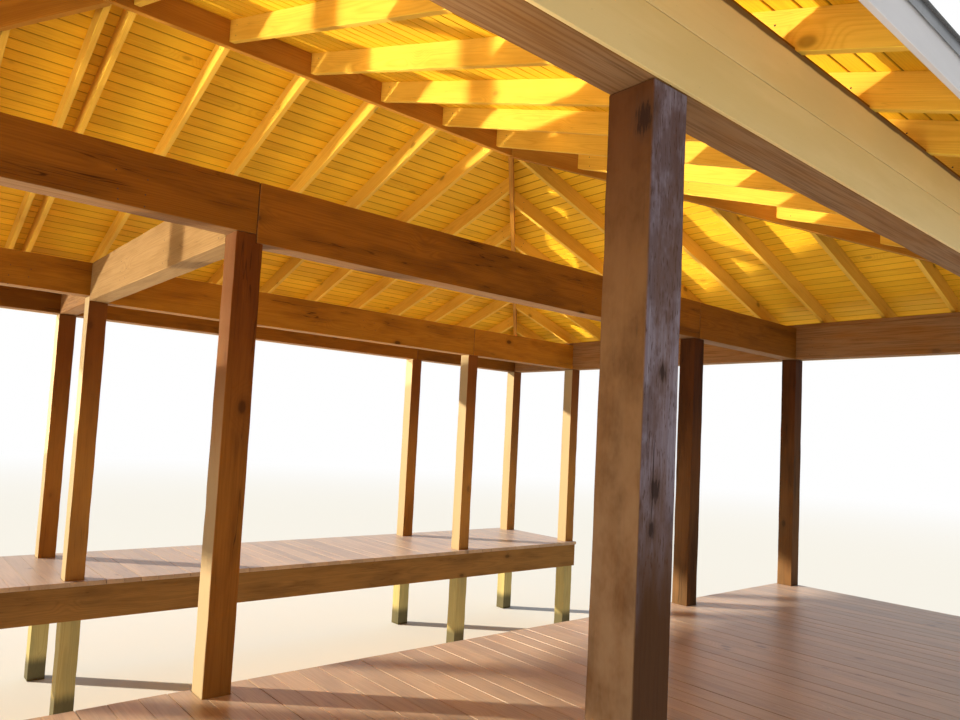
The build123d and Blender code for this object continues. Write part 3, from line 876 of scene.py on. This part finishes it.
def row_joints(side, row_run, chance):
    """Places along a row where two boards meet over a rafter."""
    first = first_long_rafter if side in ("front", "back") else 0.0
    limit = hip_reach(side, row_run) - 0.6
    places, place = [], -limit + chance.uniform(0.3, 2.4)
    while place < limit:
        rafter = first + round((place - first) / rafter_spacing) * rafter_spacing
        places.append(rafter)
        place = rafter + chance.choice((2, 3, 4, 5)) * rafter_spacing
    return [place for place in places if abs(place) < limit]


def ceiling_board(shape, side, section, start, stop, chance):
    """One board between two joints. Where start or stop is None, it ends on the hip."""
    ends = []
    for sign, place in ((-1, start), (1, stop)):
        ends.append([shape.verts.new(slope_point(
            side, run, place if place is not None else sign * (hip_reach(side, run) - hip_gap), lift))
            for run, lift in section])
    seam = shape.verts.layers.float["seam"]
    for end in ends:
        for vertex, (run, lift) in zip(end, section):
            vertex[seam] = 1.0 if lift > section[0][1] else 0.0
    for number in range(len(section)):
        following = (number + 1) % len(section)
        shape.faces.new([ends[0][number], ends[0][following], ends[1][following], ends[1][number]])
    shape.faces.new(list(reversed(ends[0])))
    shape.faces.new(ends[1])
    along = along_x if side in ("front", "back") else along_y
    write_grain(shape, ends[0] + ends[1], along, False, chance)


for side in ("front", "back", "mouth", "head"):
    chance = random.Random(f"ceiling {side}")
    shape = layered_shape()
    row_step = ceiling_pitch / pitch_stretch
    vee_run, gap_run = vee / pitch_stretch, joint_gap / pitch_stretch
    first_line = first_board / pitch_stretch - eave_overhang
    rows = math.ceil((half_width - first_line) / row_step) + 1
    boards = 0
    for row in range(rows):
        low_run = max(first_line + (row - 1) * row_step, -eave_overhang)
        high_run = min(first_line + row * row_step - gap_run, half_width - hip_gap * 2)
        if high_run - low_run < 0.02:
            continue
        bottom, top = rafter_plumb, rafter_plumb + board_plumb
        section = [(low_run + vee_run, bottom), (high_run - vee_run, bottom), (high_run, bottom + vee),
                   (high_run, top), (low_run, top), (low_run, bottom + vee)]
        joints = row_joints(side, high_run, chance)
        starts = [None] + [place + joint_gap / 2 for place in joints]
        stops = [place - joint_gap / 2 for place in joints] + [None]
        for start, stop in zip(starts, stops):
            ceiling_board(shape, side, section, start, stop, chance)
            boards += 1
    bmesh.ops.recalc_face_normals(shape, faces=shape.faces)
    finished_piece(f"{side}_ceiling", shape, ceiling_pine, "ceiling_pine", f"{side}_roof_boards")
    print(side, "ceiling rows:", rows, "boards:", boards)

# %% [markdown]
# ## One layout tree for everything that repeats
#
# Shingles, cap shingles, screws and nails are one small item each, repeated at set-out points. A
# Geometry Nodes tree does that: the points come in as a mesh that also carries how each item is turned
# and sized, the tree puts an instance on every point, adds a little chance to its turn and a tone of
# its own, and makes the instances real, because a plain mesh is what every other program can read.


# %% Build the layout tree
def layout_tree():
    """Points in, items out. Its inputs are named, and each use of it gives them its own values."""
    group = bpy.data.node_groups.new("layout", "GeometryNodeTree")
    group.interface.new_socket(name="Points", in_out="INPUT", socket_type="NodeSocketGeometry")
    for name, kind in (("Item", "NodeSocketObject"), ("Size", "NodeSocketVector"),
                       ("Loose Turn", "NodeSocketFloat"), ("Seed", "NodeSocketInt"),
                       ("Finish", "NodeSocketMaterial")):
        group.interface.new_socket(name=name, in_out="INPUT", socket_type=kind)
    group.interface.new_socket(name="Items", in_out="OUTPUT", socket_type="NodeSocketGeometry")
    tree = Tree(group)
    given = group.nodes.new("NodeGroupInput")
    inputs = {socket.name: Wire(tree, socket) for socket in given.outputs if socket.name}
    turn = tree.node("GeometryNodeInputNamedAttribute", {"data_type": "FLOAT_VECTOR"}, {"Name": "turn"})
    size = tree.node("GeometryNodeInputNamedAttribute", {"data_type": "FLOAT_VECTOR"}, {"Name": "size"})
    scale = tree.node("ShaderNodeVectorMath", {"operation": "MULTIPLY"}, {0: size, 1: inputs["Size"]})
    loose = tree.node("FunctionNodeRandomValue", {"data_type": "FLOAT"}, output=1, sockets={
        2: inputs["Loose Turn"] * -1.0, 3: inputs["Loose Turn"], "Seed": inputs["Seed"]})
    own_turn = tree.node("ShaderNodeCombineXYZ", sockets={2: loose})
    item = tree.node("GeometryNodeObjectInfo", sockets={"Object": inputs["Item"]}, output=4)
    placed = tree.node("GeometryNodeInstanceOnPoints", sockets={
        "Points": inputs["Points"], "Instance": item, "Rotation": turn, "Scale": scale})
    spun = tree.node("GeometryNodeRotateInstances", sockets={"Instances": placed, "Rotation": own_turn})
    tone = tree.node("FunctionNodeRandomValue", {"data_type": "FLOAT"},
                     {2: 0.0, 3: 1.0, "Seed": inputs["Seed"] + 1.0}, output=1)
    toned = tree.node("GeometryNodeStoreNamedAttribute", {"data_type": "FLOAT", "domain": "INSTANCE"},
                      {"Geometry": spun, "Name": "board", "Value": tone})
    real = tree.node("GeometryNodeRealizeInstances", sockets={"Geometry": toned})
    painted = tree.node("GeometryNodeSetMaterial", sockets={"Geometry": real, "Material": inputs["Finish"]})
    tree.node("NodeGroupOutput", sockets={"Items": painted})
    return group


layout = layout_tree()


def set_out(name, places, item, material, seed, size=(1, 1, 1), loose_turn=0.0, replaced=()):
    """Puts an item at every place, which is a point, a turn and a size, and makes one piece of them."""
    points = bpy.data.meshes.new(name)
    points.from_pydata([place[0] for place in places], [], [])
    for label, column in (("turn", 1), ("size", 2)):
        values = points.attributes.new(label, "FLOAT_VECTOR", "POINT")
        values.data.foreach_set("vector", [part for place in places for part in place[column]])
    carrier = bpy.data.objects.new(f"{name}_points", points)
    item.hide_render = True
    modifier = carrier.modifiers.new("layout", "NODES")
    modifier.node_group = layout
    given = {"Item": item, "Size": size, "Loose Turn": loose_turn, "Seed": seed, "Finish": material}
    for socket in layout.interface.items_tree:
        if socket.name in given:
            modifier[socket.identifier] = given[socket.name]
    bpy.context.scene.collection.objects.link(carrier)
    seen = carrier.evaluated_get(bpy.context.evaluated_depsgraph_get())
    mesh = bpy.data.meshes.new_from_object(seen)
    carrier.modifiers.clear()
    bpy.data.objects.remove(carrier)
    mesh.name = name
    piece = bpy.data.objects.new(name, mesh)
    bpy.context.scene.collection.objects.link(piece)
    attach(piece, "root")
    if replaced:
        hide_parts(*replaced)
    print(name, "items:", len(places), "triangles:", sum(len(face.vertices) - 2 for face in mesh.polygons))
    return piece


def item_object(name, shape):
    """A small item for the layout tree, which the render itself never shows."""
    mesh = bpy.data.meshes.new(name)
    bmesh.ops.recalc_face_normals(shape, faces=shape.faces)
    shape.to_mesh(mesh)
    shape.free()
    item = bpy.data.objects.new(name, mesh)
    return item


print("layout inputs:", [socket.name for socket in layout.interface.items_tree])

# %% [markdown]
# ## Shingles
#
# The roof has bitumen shingles with a mineral face. Their look is in the layers: each course lies
# over the one below, so its lower edge stands proud and throws a thin line of shade, and the tabs
# differ in width and tone. A thin bed goes down first, cut exactly at the hips. The tabs on it stop
# just short of the hips, where the cap shingles cover them.


# %% Make the shingles' finish
def shingle_finish():
    finish = Finish("shingle")
    place = finish.place()
    tone = finish.attribute("board", output=2)
    grit = finish.noise(finish.stretch(place, (900.0, 900.0, 900.0)), detail=1.0)
    speckle = finish.noise(finish.stretch(place, (260.0, 260.0, 260.0)), detail=2.0)
    weather = finish.noise(finish.stretch(place, (0.9, 0.9, 0.9)), detail=4.0, roughness=0.6)
    colour = finish.blend(speckle.smooth(0.42, 0.60), (0.100, 0.100, 0.106, 1), (0.260, 0.258, 0.262, 1))
    colour = finish.blend(grit.smooth(0.60, 0.72) * 0.7, colour, (0.44, 0.43, 0.42, 1))
    colour = finish.blend(tone * 0.65, colour, (0.095, 0.092, 0.096, 1))
    colour = finish.blend(weather.smooth(0.50, 0.75) * 0.35, colour, (0.20, 0.19, 0.17, 1))
    return finish.surface(colour, 0.86 + grit * 0.12, grit * 0.6 + speckle * 0.4, 0.0012)


shingle = shingle_finish()
bed_plumb = 0.003 * pitch_stretch
print("finish:", shingle.name)

# %% Lay the bed and the tabs
shingle_lift = rafter_plumb + board_plumb
exposure, tab_length, tab_thickness = 0.143, 0.185, 0.0034
slope_angle = math.atan(roof_slope)
lap_angle = math.asin(0.0032 / exposure)
side_turn = {"front": 0.0, "mouth": math.pi / 2, "back": math.pi, "head": -math.pi / 2}

tab = bmesh.new()
profile = [(0.0, 0.0), (0.0, 0.8), (0.012, 1.0), (1.0, 1.0), (1.0, 0.0)]
tab_ends = [[tab.verts.new((x, up, high)) for up, high in profile] for x in (-0.5, 0.5)]
for number in range(len(profile)):
    following = (number + 1) % len(profile)
    tab.faces.new([tab_ends[0][number], tab_ends[0][following], tab_ends[1][following], tab_ends[1][number]])
tab.faces.new(tab_ends[0])
tab.faces.new(list(reversed(tab_ends[1])))
tab_item = item_object("tab", tab)


def tab_places(side, chance):
    """Where the tabs of one slope go: courses from the eave up, cut back from the hips."""
    places = []
    step = exposure / pitch_stretch
    turn = (slope_angle - lap_angle, 0.0, side_turn[side])
    upwards_on_plan = tab_length / pitch_stretch
    run = 0.0016 - shingle_run
    while run < half_width - 0.07:
        far_run = min(run + upwards_on_plan, half_width - 0.02)
        limit = hip_reach(side, far_run)
        place = -limit
        first_width = chance.uniform(0.10, 0.30)
        while place < limit - 0.01:
            width = first_width or chance.choice((0.17, 0.21, 0.25, 0.30))
            first_width = None
            width = min(width, limit - place)
            proud = 0.0032 + chance.choice((0.0, 0.0, 0.0008))
            centre = place + width / 2
            point = slope_point(side, run, centre, shingle_lift + bed_plumb + proud)
            places.append((point, turn, (width - 0.002, (far_run - run) * pitch_stretch / tab_length, 1.0)))
            place += width
        run += step
    return places


for side in ("front", "back", "mouth", "head"):
    bed = layered_shape()
    low, high = -shingle_run, half_width - hip_gap * 2
    section = [(low, shingle_lift), (high, shingle_lift), (high, shingle_lift + bed_plumb),
               (low, shingle_lift + bed_plumb)]
    ceiling_board(bed, side, section, None, None, random.Random(f"bed {side}"))
    bmesh.ops.recalc_face_normals(bed, faces=bed.faces)
    finished_piece(f"{side}_shingle_bed", bed, shingle, "shingle", f"{side}_shingles")
    set_out(f"{side}_shingle_tabs", tab_places(side, random.Random(f"tabs {side}")), tab_item, shingle,
            seed=4, size=(1.0, tab_length, tab_thickness))

# %% [markdown]
# ## Cap shingles
#
# Along the ridge and the hips, short shingles are folded over the angle, each one lapping the next.
# The fold is flatter on a hip than on the ridge, because a hip runs across both slopes. So there are
# two cap items, and a line of points for each hip and for each half of the ridge.


# %% Fold and lay the caps
cap_length, cap_thickness, worn_crease = 0.30, 0.0034, 0.0012
first_cap = 0.004


def cap_item(name, fall):
    """A cap folded over a line along X. fall is how far it drops for each metre away from that line."""
    shape = bmesh.new()
    across = [-0.143, -0.06, -0.012, 0.0, 0.012, 0.06, 0.143]
    heights = [-abs(y) * fall - (worn_crease if y == 0 else 0.0) for y in across]
    low_end, high_end = 0.0038, 0.0002
    section = [(0.0, low_end), (0.0, low_end + cap_thickness),
               (cap_length, high_end + cap_thickness), (cap_length, high_end)]
    rings = []
    for x, lift in section:
        rings.append([shape.verts.new((x, y, height + lift)) for y, height in zip(across, heights)])
    for number, ring in enumerate(rings):
        following = rings[(number + 1) % len(rings)]
        for inner in range(len(across) - 1):
            outer = inner + 1
            shape.faces.new([ring[inner], ring[outer], following[outer], following[inner]])
    shape.faces.new([ring[0] for ring in rings])
    shape.faces.new([ring[-1] for ring in rings])
    return item_object(name, shape)


hip_rise = roof_slope / math.sqrt(2)
hip_angle = math.atan(hip_rise)
hip_cap = cap_item("hip_cap", hip_rise * math.cos(hip_angle))
ridge_cap = cap_item("ridge_cap", roof_slope)
cap_lift = shingle_lift + shingle_plumb
cap_step = exposure
ridge_level = underside(half_width) + cap_lift


def hip_places(x_sign, y_sign):
    """Points up one hip, from the eave to the ridge, one exposure apart along the hip."""
    low = Vector((x_sign * (half_length + shingle_run), y_sign * (half_width + shingle_run),
                  underside(-shingle_run) + cap_lift))
    high = Vector((x_sign * ridge_end, 0, ridge_level))
    way = (high - low).normalized()
    turn = (0.0, -hip_angle, math.atan2(way.y, way.x))
    count = int(((high - low).length - cap_length) / cap_step)
    return [(low + way * (first_cap + cap_step * number), turn, (1, 1, 1)) for number in range(count + 1)]


def trim_to_eaves(piece):
    """Cuts off what hangs over the eaves at the corners, and closes the cuts."""
    shape = bmesh.new()
    shape.from_mesh(piece.data)
    edge_x, edge_y = half_length + shingle_run, half_width + shingle_run
    for place, normal in ((edge_x, along_x), (-edge_x, -along_x), (edge_y, along_y), (-edge_y, -along_y)):
        geometry = list(shape.verts) + list(shape.edges) + list(shape.faces)
        cut = bmesh.ops.bisect_plane(shape, geom=geometry, dist=cut_tolerance, clear_outer=True,
                                     plane_no=normal,
                                     plane_co=(place if normal.x else 0, place if normal.y else 0, 0))
        edges = [part for part in cut["geom_cut"] if isinstance(part, bmesh.types.BMEdge)]
        bmesh.ops.holes_fill(shape, edges=edges, sides=0)
    shape.to_mesh(piece.data)
    shape.free()


def ridge_places():
    """Points along the ridge from its head end. The last cap reaches the hips at the mouth end."""
    count = int(2 * ridge_end / cap_step)
    step = 2 * ridge_end / count
    places = []
    for number in range(count - 1):
        places.append((Vector((-ridge_end + step * number, 0, ridge_level)), (0, 0, 0), (1, 1, 1)))
    return places


hip_points = [place for x_sign in (-1, 1) for y_sign in (-1, 1) for place in hip_places(x_sign, y_sign)]
hip_caps = set_out("hip_cap_shingles", hip_points, hip_cap, shingle, seed=7,
                   replaced=["ridge_and_hip_caps"])
trim_to_eaves(hip_caps)
set_out("ridge_cap_shingles", ridge_places(), ridge_cap, shingle, seed=8)

# %% [markdown]
# ## Painted boards and the drip edge
#
# Two courses of smooth board cover the outside of the beams in cream, and a white fascia closes the
# rafter tails. Paint hides most of the wood, and what still tells it from plastic is its brush marks,
# a little chalking and the dirt that settles in it. Where the cladding meets the roof boards, the plate
# above it lies in shade, and the cladding's finish paints that shade as an uneven dark band along its
# top edge.


# %% Make the paints and work the painted boards
def paint_finish(name, colour, aged, dirt, roughness, shaded_edge=None):
    """Brushed paint that chalks. shaded_edge is the level of a top edge, below which an uneven dark band is
    painted as shade.
    """
    finish = Finish(name)
    grain = finish.attribute("grain")
    brush = finish.noise(finish.stretch(grain, (5.0, 420.0, 420.0)), detail=2.0)
    cloud = finish.noise(finish.stretch(grain, (1.1, 5.0, 5.0)), detail=4.0, roughness=0.6)
    raised = finish.noise(finish.stretch(grain, (2.0, 70.0, 70.0)), detail=3.0)
    specks = finish.noise(finish.stretch(grain, (90.0, 160.0, 160.0)), detail=1.0)
    paint = finish.blend(cloud.smooth(0.38, 0.66) * 0.8, colour, aged)
    paint = finish.blend(raised.smooth(0.52, 0.72) * 0.25, paint, aged)
    paint = finish.blend(specks.smooth(0.76, 0.82) * 0.30, paint, dirt)
    # A dark, uneven band along the top edge paints the shade of the plate above the cladding.
    if shaded_edge:
        place = finish.place()
        wave = finish.noise(finish.stretch(place, (7.0, 7.0, 3.0)), detail=3.0)
        edge_shade = (finish.part(place, 2) + wave * 0.014).smooth(shaded_edge - 0.016, shaded_edge - 0.009)
        paint = finish.blend(edge_shade * 0.92, paint, (0.085, 0.036, 0.010, 1))
    return finish.surface(paint, roughness + brush * 0.14 - 0.05, brush * 0.4 + raised * 0.6, 0.0006)


# The band along the cladding's top edge is painted shade.
cladding_paint = paint_finish("cladding_paint", (0.78, 0.580, 0.245, 1), (0.70, 0.505, 0.190, 1),
                              (0.34, 0.24, 0.11, 1), 0.55, shaded_edge=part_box("beam_cladding")[1].z)
fascia_paint = paint_finish("fascia_paint", (0.74, 0.71, 0.72, 1), (0.68, 0.65, 0.65, 1),
                            (0.30, 0.27, 0.24, 1), 0.45)
worked_timber("beam_cladding", cladding_paint, "cladding_paint", [along_x, along_y], painted_arris)
timbers["fascia"] = worked_timber("fascia", fascia_paint, "fascia_paint", [along_x, along_y], painted_arris)
print("painted:", cladding_paint.name, fascia_paint.name)

# %% [markdown]
# A drip edge is one sheet folded over the edge of the roof: a leg down the fascia, and a small kick at
# its foot that throws the rain clear. It is a section with a real thickness, led round the four
# corners of the eaves, where every point of it moves out by its own distance and so makes the mitre.


# %% Fold the drip edge
def drip_finish():
    finish = Finish("drip_metal")
    place = finish.place()
    cloud = finish.noise(finish.stretch(place, (3.0, 3.0, 9.0)), detail=4.0, roughness=0.6)
    run_marks = finish.noise(finish.stretch(place, (38.0, 38.0, 2.0)), detail=2.0)
    waves = finish.noise(finish.stretch(place, (5.0, 5.0, 14.0)), detail=1.0)
    metal = finish.blend(cloud.smooth(0.35, 0.7) * 0.8, (0.34, 0.35, 0.37, 1), (0.24, 0.25, 0.27, 1))
    metal = finish.blend(run_marks.smooth(0.55, 0.75) * 0.5, metal, (0.18, 0.18, 0.18, 1))
    return finish.surface(metal, 0.34 + cloud * 0.22, waves * 0.8 + cloud * 0.2, 0.0009, Metallic=0.55)


drip_metal = drip_finish()
drip_low, drip_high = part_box("drip_edge")
fascia_low, fascia_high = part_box("fascia")
sheet = 0.0009
drip_section = [
    (0.0002, drip_high.z - 0.0005), (0.0002, drip_low.z + 0.010), (0.0062, drip_low.z + 0.0015),
    (0.0075, drip_low.z + 0.0005), (0.0088, drip_low.z + 0.0020), (0.0002 + sheet, drip_low.z + 0.0112),
    (0.0002 + sheet, drip_high.z - 0.0005)]
drip = bmesh.new()
corners = [(1, -1), (1, 1), (-1, 1), (-1, -1)]
rings = [[drip.verts.new((x_sign * (fascia_high.x + out), y_sign * (fascia_high.y + out), z))
          for out, z in drip_section] for x_sign, y_sign in corners]
for number in range(4):
    ring, following = rings[number], rings[(number + 1) % 4]
    for point in range(len(drip_section)):
        next_point = (point + 1) % len(drip_section)
        drip.faces.new([ring[point], following[point], following[next_point], ring[next_point]])
bmesh.ops.recalc_face_normals(drip, faces=drip.faces)
finished_piece("drip_edge_sheet", drip, drip_metal, "drip_metal", "drip_edge")
print("drip edge height in mm:", round((drip_high.z - drip_low.z) * 1000))

# %% [markdown]
# ## Deck screws
#
# Two screws hold each deck board to every joist. Their heads are small, dark and a little sunk, and
# the rows that they make are what tells the eye where the joists are. Each head is a shallow cone with
# a square recess. The same tree sets them out, and turns each one as the driver left it.


# %% Drive the deck screws
def screw_item():
    """A screw head of unit width that lies in the plane of its point, with a square recess."""
    shape = bmesh.new()
    sides = 10
    loops = []
    for radius, height in ((0.40, -0.30), (0.5, -0.02), (0.44, 0.03)):
        loops.append([shape.verts.new((radius * math.cos(2 * math.pi * step / sides),
                                       radius * math.sin(2 * math.pi * step / sides), height))
                      for step in range(sides)])
    for low_loop, high_loop in zip(loops, loops[1:]):
        for step in range(sides):
            following = (step + 1) % sides
            shape.faces.new([low_loop[step], low_loop[following], high_loop[following], high_loop[step]])
    top = shape.faces.new(loops[2])
    shape.faces.new(list(reversed(loops[0])))
    bmesh.ops.inset_region(shape, faces=[top], thickness=0.20)
    bmesh.ops.inset_region(shape, faces=[top], thickness=0.01)
    for vertex in top.verts:
        vertex.co.z -= 0.16
    return item_object("screw", shape)


def screw_finish():
    finish = Finish("screw_metal")
    place = finish.place()
    rust = finish.noise(finish.stretch(place, (60.0, 60.0, 60.0)), detail=2.0)
    colour = finish.blend(rust.smooth(0.40, 0.65), (0.10, 0.070, 0.045, 1), (0.05, 0.035, 0.026, 1))
    return finish.surface(colour, 0.5 + rust * 0.2, rust, 0.0001, Metallic=0.6)


def spread(low, high, spacing):
    """Even places between two faces, no wider apart than spacing, as the joists under the decks lie."""
    bays = math.ceil((high - low) / spacing)
    return [low + (high - low) * number / bays for number in range(1, bays)]


rim_thickness, joist_spacing = 0.038, 0.410
screw_inset, screw_width, screw_sink = 0.024, 0.0082, 0.0004
clear_of_post = 0.01


def walk_rows(node):
    """Rows of screws along a walk: one over each rim of its frame, and one over every joist."""
    low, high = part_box(node)
    joists = spread(low.y + rim_thickness, high.y - rim_thickness, joist_spacing)
    return [low.y + rim_thickness / 2, *joists, high.y - rim_thickness / 2]


def meets_post(point):
    """Whether a screw would come within 10 mm of a post's hole."""
    return any(x_low - clear_of_post < point.x < x_high + clear_of_post
               and y_low - clear_of_post < point.y < y_high + clear_of_post
               for x_low, x_high, y_low, y_high in post_holes)


screw_rows = {"front_deck": walk_rows("front_frame"), "back_deck": walk_rows("back_frame"),
              "head_deck": spread(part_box("front_frame")[1].y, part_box("back_frame")[0].y, joist_spacing)}
chance = random.Random("screws")
screw_places = []
for node, rows in screw_rows.items():
    for x_low, x_high in board_spans[node]:
        for y in rows:
            for x in (x_low + screw_inset, x_high - screw_inset):
                point = Vector((x + chance.uniform(-0.004, 0.004), y + chance.uniform(-0.006, 0.006),
                                deck_top - deck_sink - screw_sink))
                if not meets_post(point):
                    screw_places.append((point, (0, 0, 0), (1, 1, 1)))
set_out("deck_screws", screw_places, screw_item(), screw_finish(), seed=11,
        size=(screw_width, screw_width, screw_width), loose_turn=math.pi)

# %% [markdown]
# ## Nails
#
# The roof frame, the beams and the fascia are nailed, and every nail has bled a little rust, so from the
# deck it reads as a dark dot. A ray from outside finds the face that a nail goes into, wear and all,
# and a nail whose ray meets no timber is left out. That way the same few lines nail every timber.


# %% Make a nail
def nail_item():
    """A flat nail head of unit width, sunk so far that only its face shows."""
    shape = bmesh.new()
    bmesh.ops.create_cone(shape, cap_ends=True, segments=8, radius1=0.5, radius2=0.42, depth=0.30)
    return item_object("nail", shape)


def nail_finish():
    finish = Finish("nail_metal")
    rust = finish.noise(finish.stretch(finish.place(), (140.0, 140.0, 140.0)), detail=2.0)
    colour = finish.blend(rust.smooth(0.40, 0.65), (0.075, 0.030, 0.012, 1), (0.028, 0.014, 0.010, 1))
    return finish.surface(colour, 0.62 + rust * 0.2, rust, 0.0001)


nail_reach = 0.060
nail_places = []
nail_chance = random.Random("nails")


def nail(node, start, way):
    """Adds the nail that a ray from start drives into a timber, if the timber is near enough."""
    struck, point, normal, _ = timbers[node].ray_cast(start, way, distance=nail_reach)
    if struck:
        turn = normal.to_track_quat("Z", "Y").to_euler()
        nail_places.append((point, tuple(turn), (1, 1, 1)))


print("timbers that can be nailed:", len(timbers))

# %% Drive the nails
most_rafters = 20
seat_nails, ridge_nails, from_seat, from_ridge = (0.30, 0.62), (0.25, 0.70), 0.075, 0.13
fascia_nails, beyond_tails = (fascia_low.z + 0.035, fascia_high.z - 0.045), 0.070
beam_end, beam_joint, beam_nails = 0.10, 0.07, (0.055, 0.125, 0.200)
beam_clear = 0.120


def nail_rafters(side, across, places):
    """Nails each rafter of a slope from both sides, at its seat and at its upper end."""
    for middle in places:
        top_run = min(half_width, hip_reach(side, 0.0) - abs(middle))
        for run, heights in ((from_seat, seat_nails), (top_run - from_ridge, ridge_nails)):
            for height in heights:
                for way in (-1, 1):
                    point = slope_point(side, run + nail_chance.uniform(-0.02, 0.02), middle,
                                        rafter_plumb * (height + nail_chance.uniform(-0.06, 0.06)))
                    nail(f"{side}_rafters", point - across * way * nail_reach, across * way)


def nail_fascia(side, across, places):
    """Nails the fascia to the tail of each rafter, with one nail high and one low."""
    outward = {"front": -along_y, "back": along_y, "mouth": along_x, "head": -along_x}[side]
    tails = (half_length if side in ("mouth", "head") else half_width) + eave_overhang
    for middle in places:
        for level in fascia_nails:
            point = outward * (tails + beyond_tails)
            point += across * (middle + nail_chance.uniform(-0.006, 0.006))
            nail("fascia", point + upwards * level, -outward)


def nail_beam(node, direction):
    """Nails a beam from both sides at its ends and beside the two places where it may be joined."""
    low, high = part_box(node)
    outward = along_y if direction == along_x else along_x
    length = (high - low).dot(direction)
    joints = [length * share + offset for share in (1 / 3, 2 / 3) for offset in (-beam_joint, beam_joint)]
    for place in [beam_end, length - beam_end] + joints:
        for height in beam_nails:
            for way in (-1, 1):
                shift = place - length / 2 + nail_chance.uniform(-0.015, 0.015)
                point = (low + high) / 2 + direction * shift
                point.z = low.z + height + nail_chance.uniform(-0.012, 0.012)
                nail(node, point - outward * way * beam_clear, outward * way)


bpy.context.view_layer.update()
for side in ("front", "back", "mouth", "head"):
    across = along_x if side in ("front", "back") else along_y
    first = first_long_rafter if side in ("front", "back") else 0.0
    places = [first + number * rafter_spacing for number in range(-most_rafters, most_rafters + 1)]
    nail_rafters(side, across, places)
    nail_fascia(side, across, places)
for node, direction in beams.items():
    nail_beam(node, direction)
set_out("nails", nail_places, nail_item(), nail_finish(), seed=13, size=(0.009, 0.009, 0.004))

# %% [markdown]
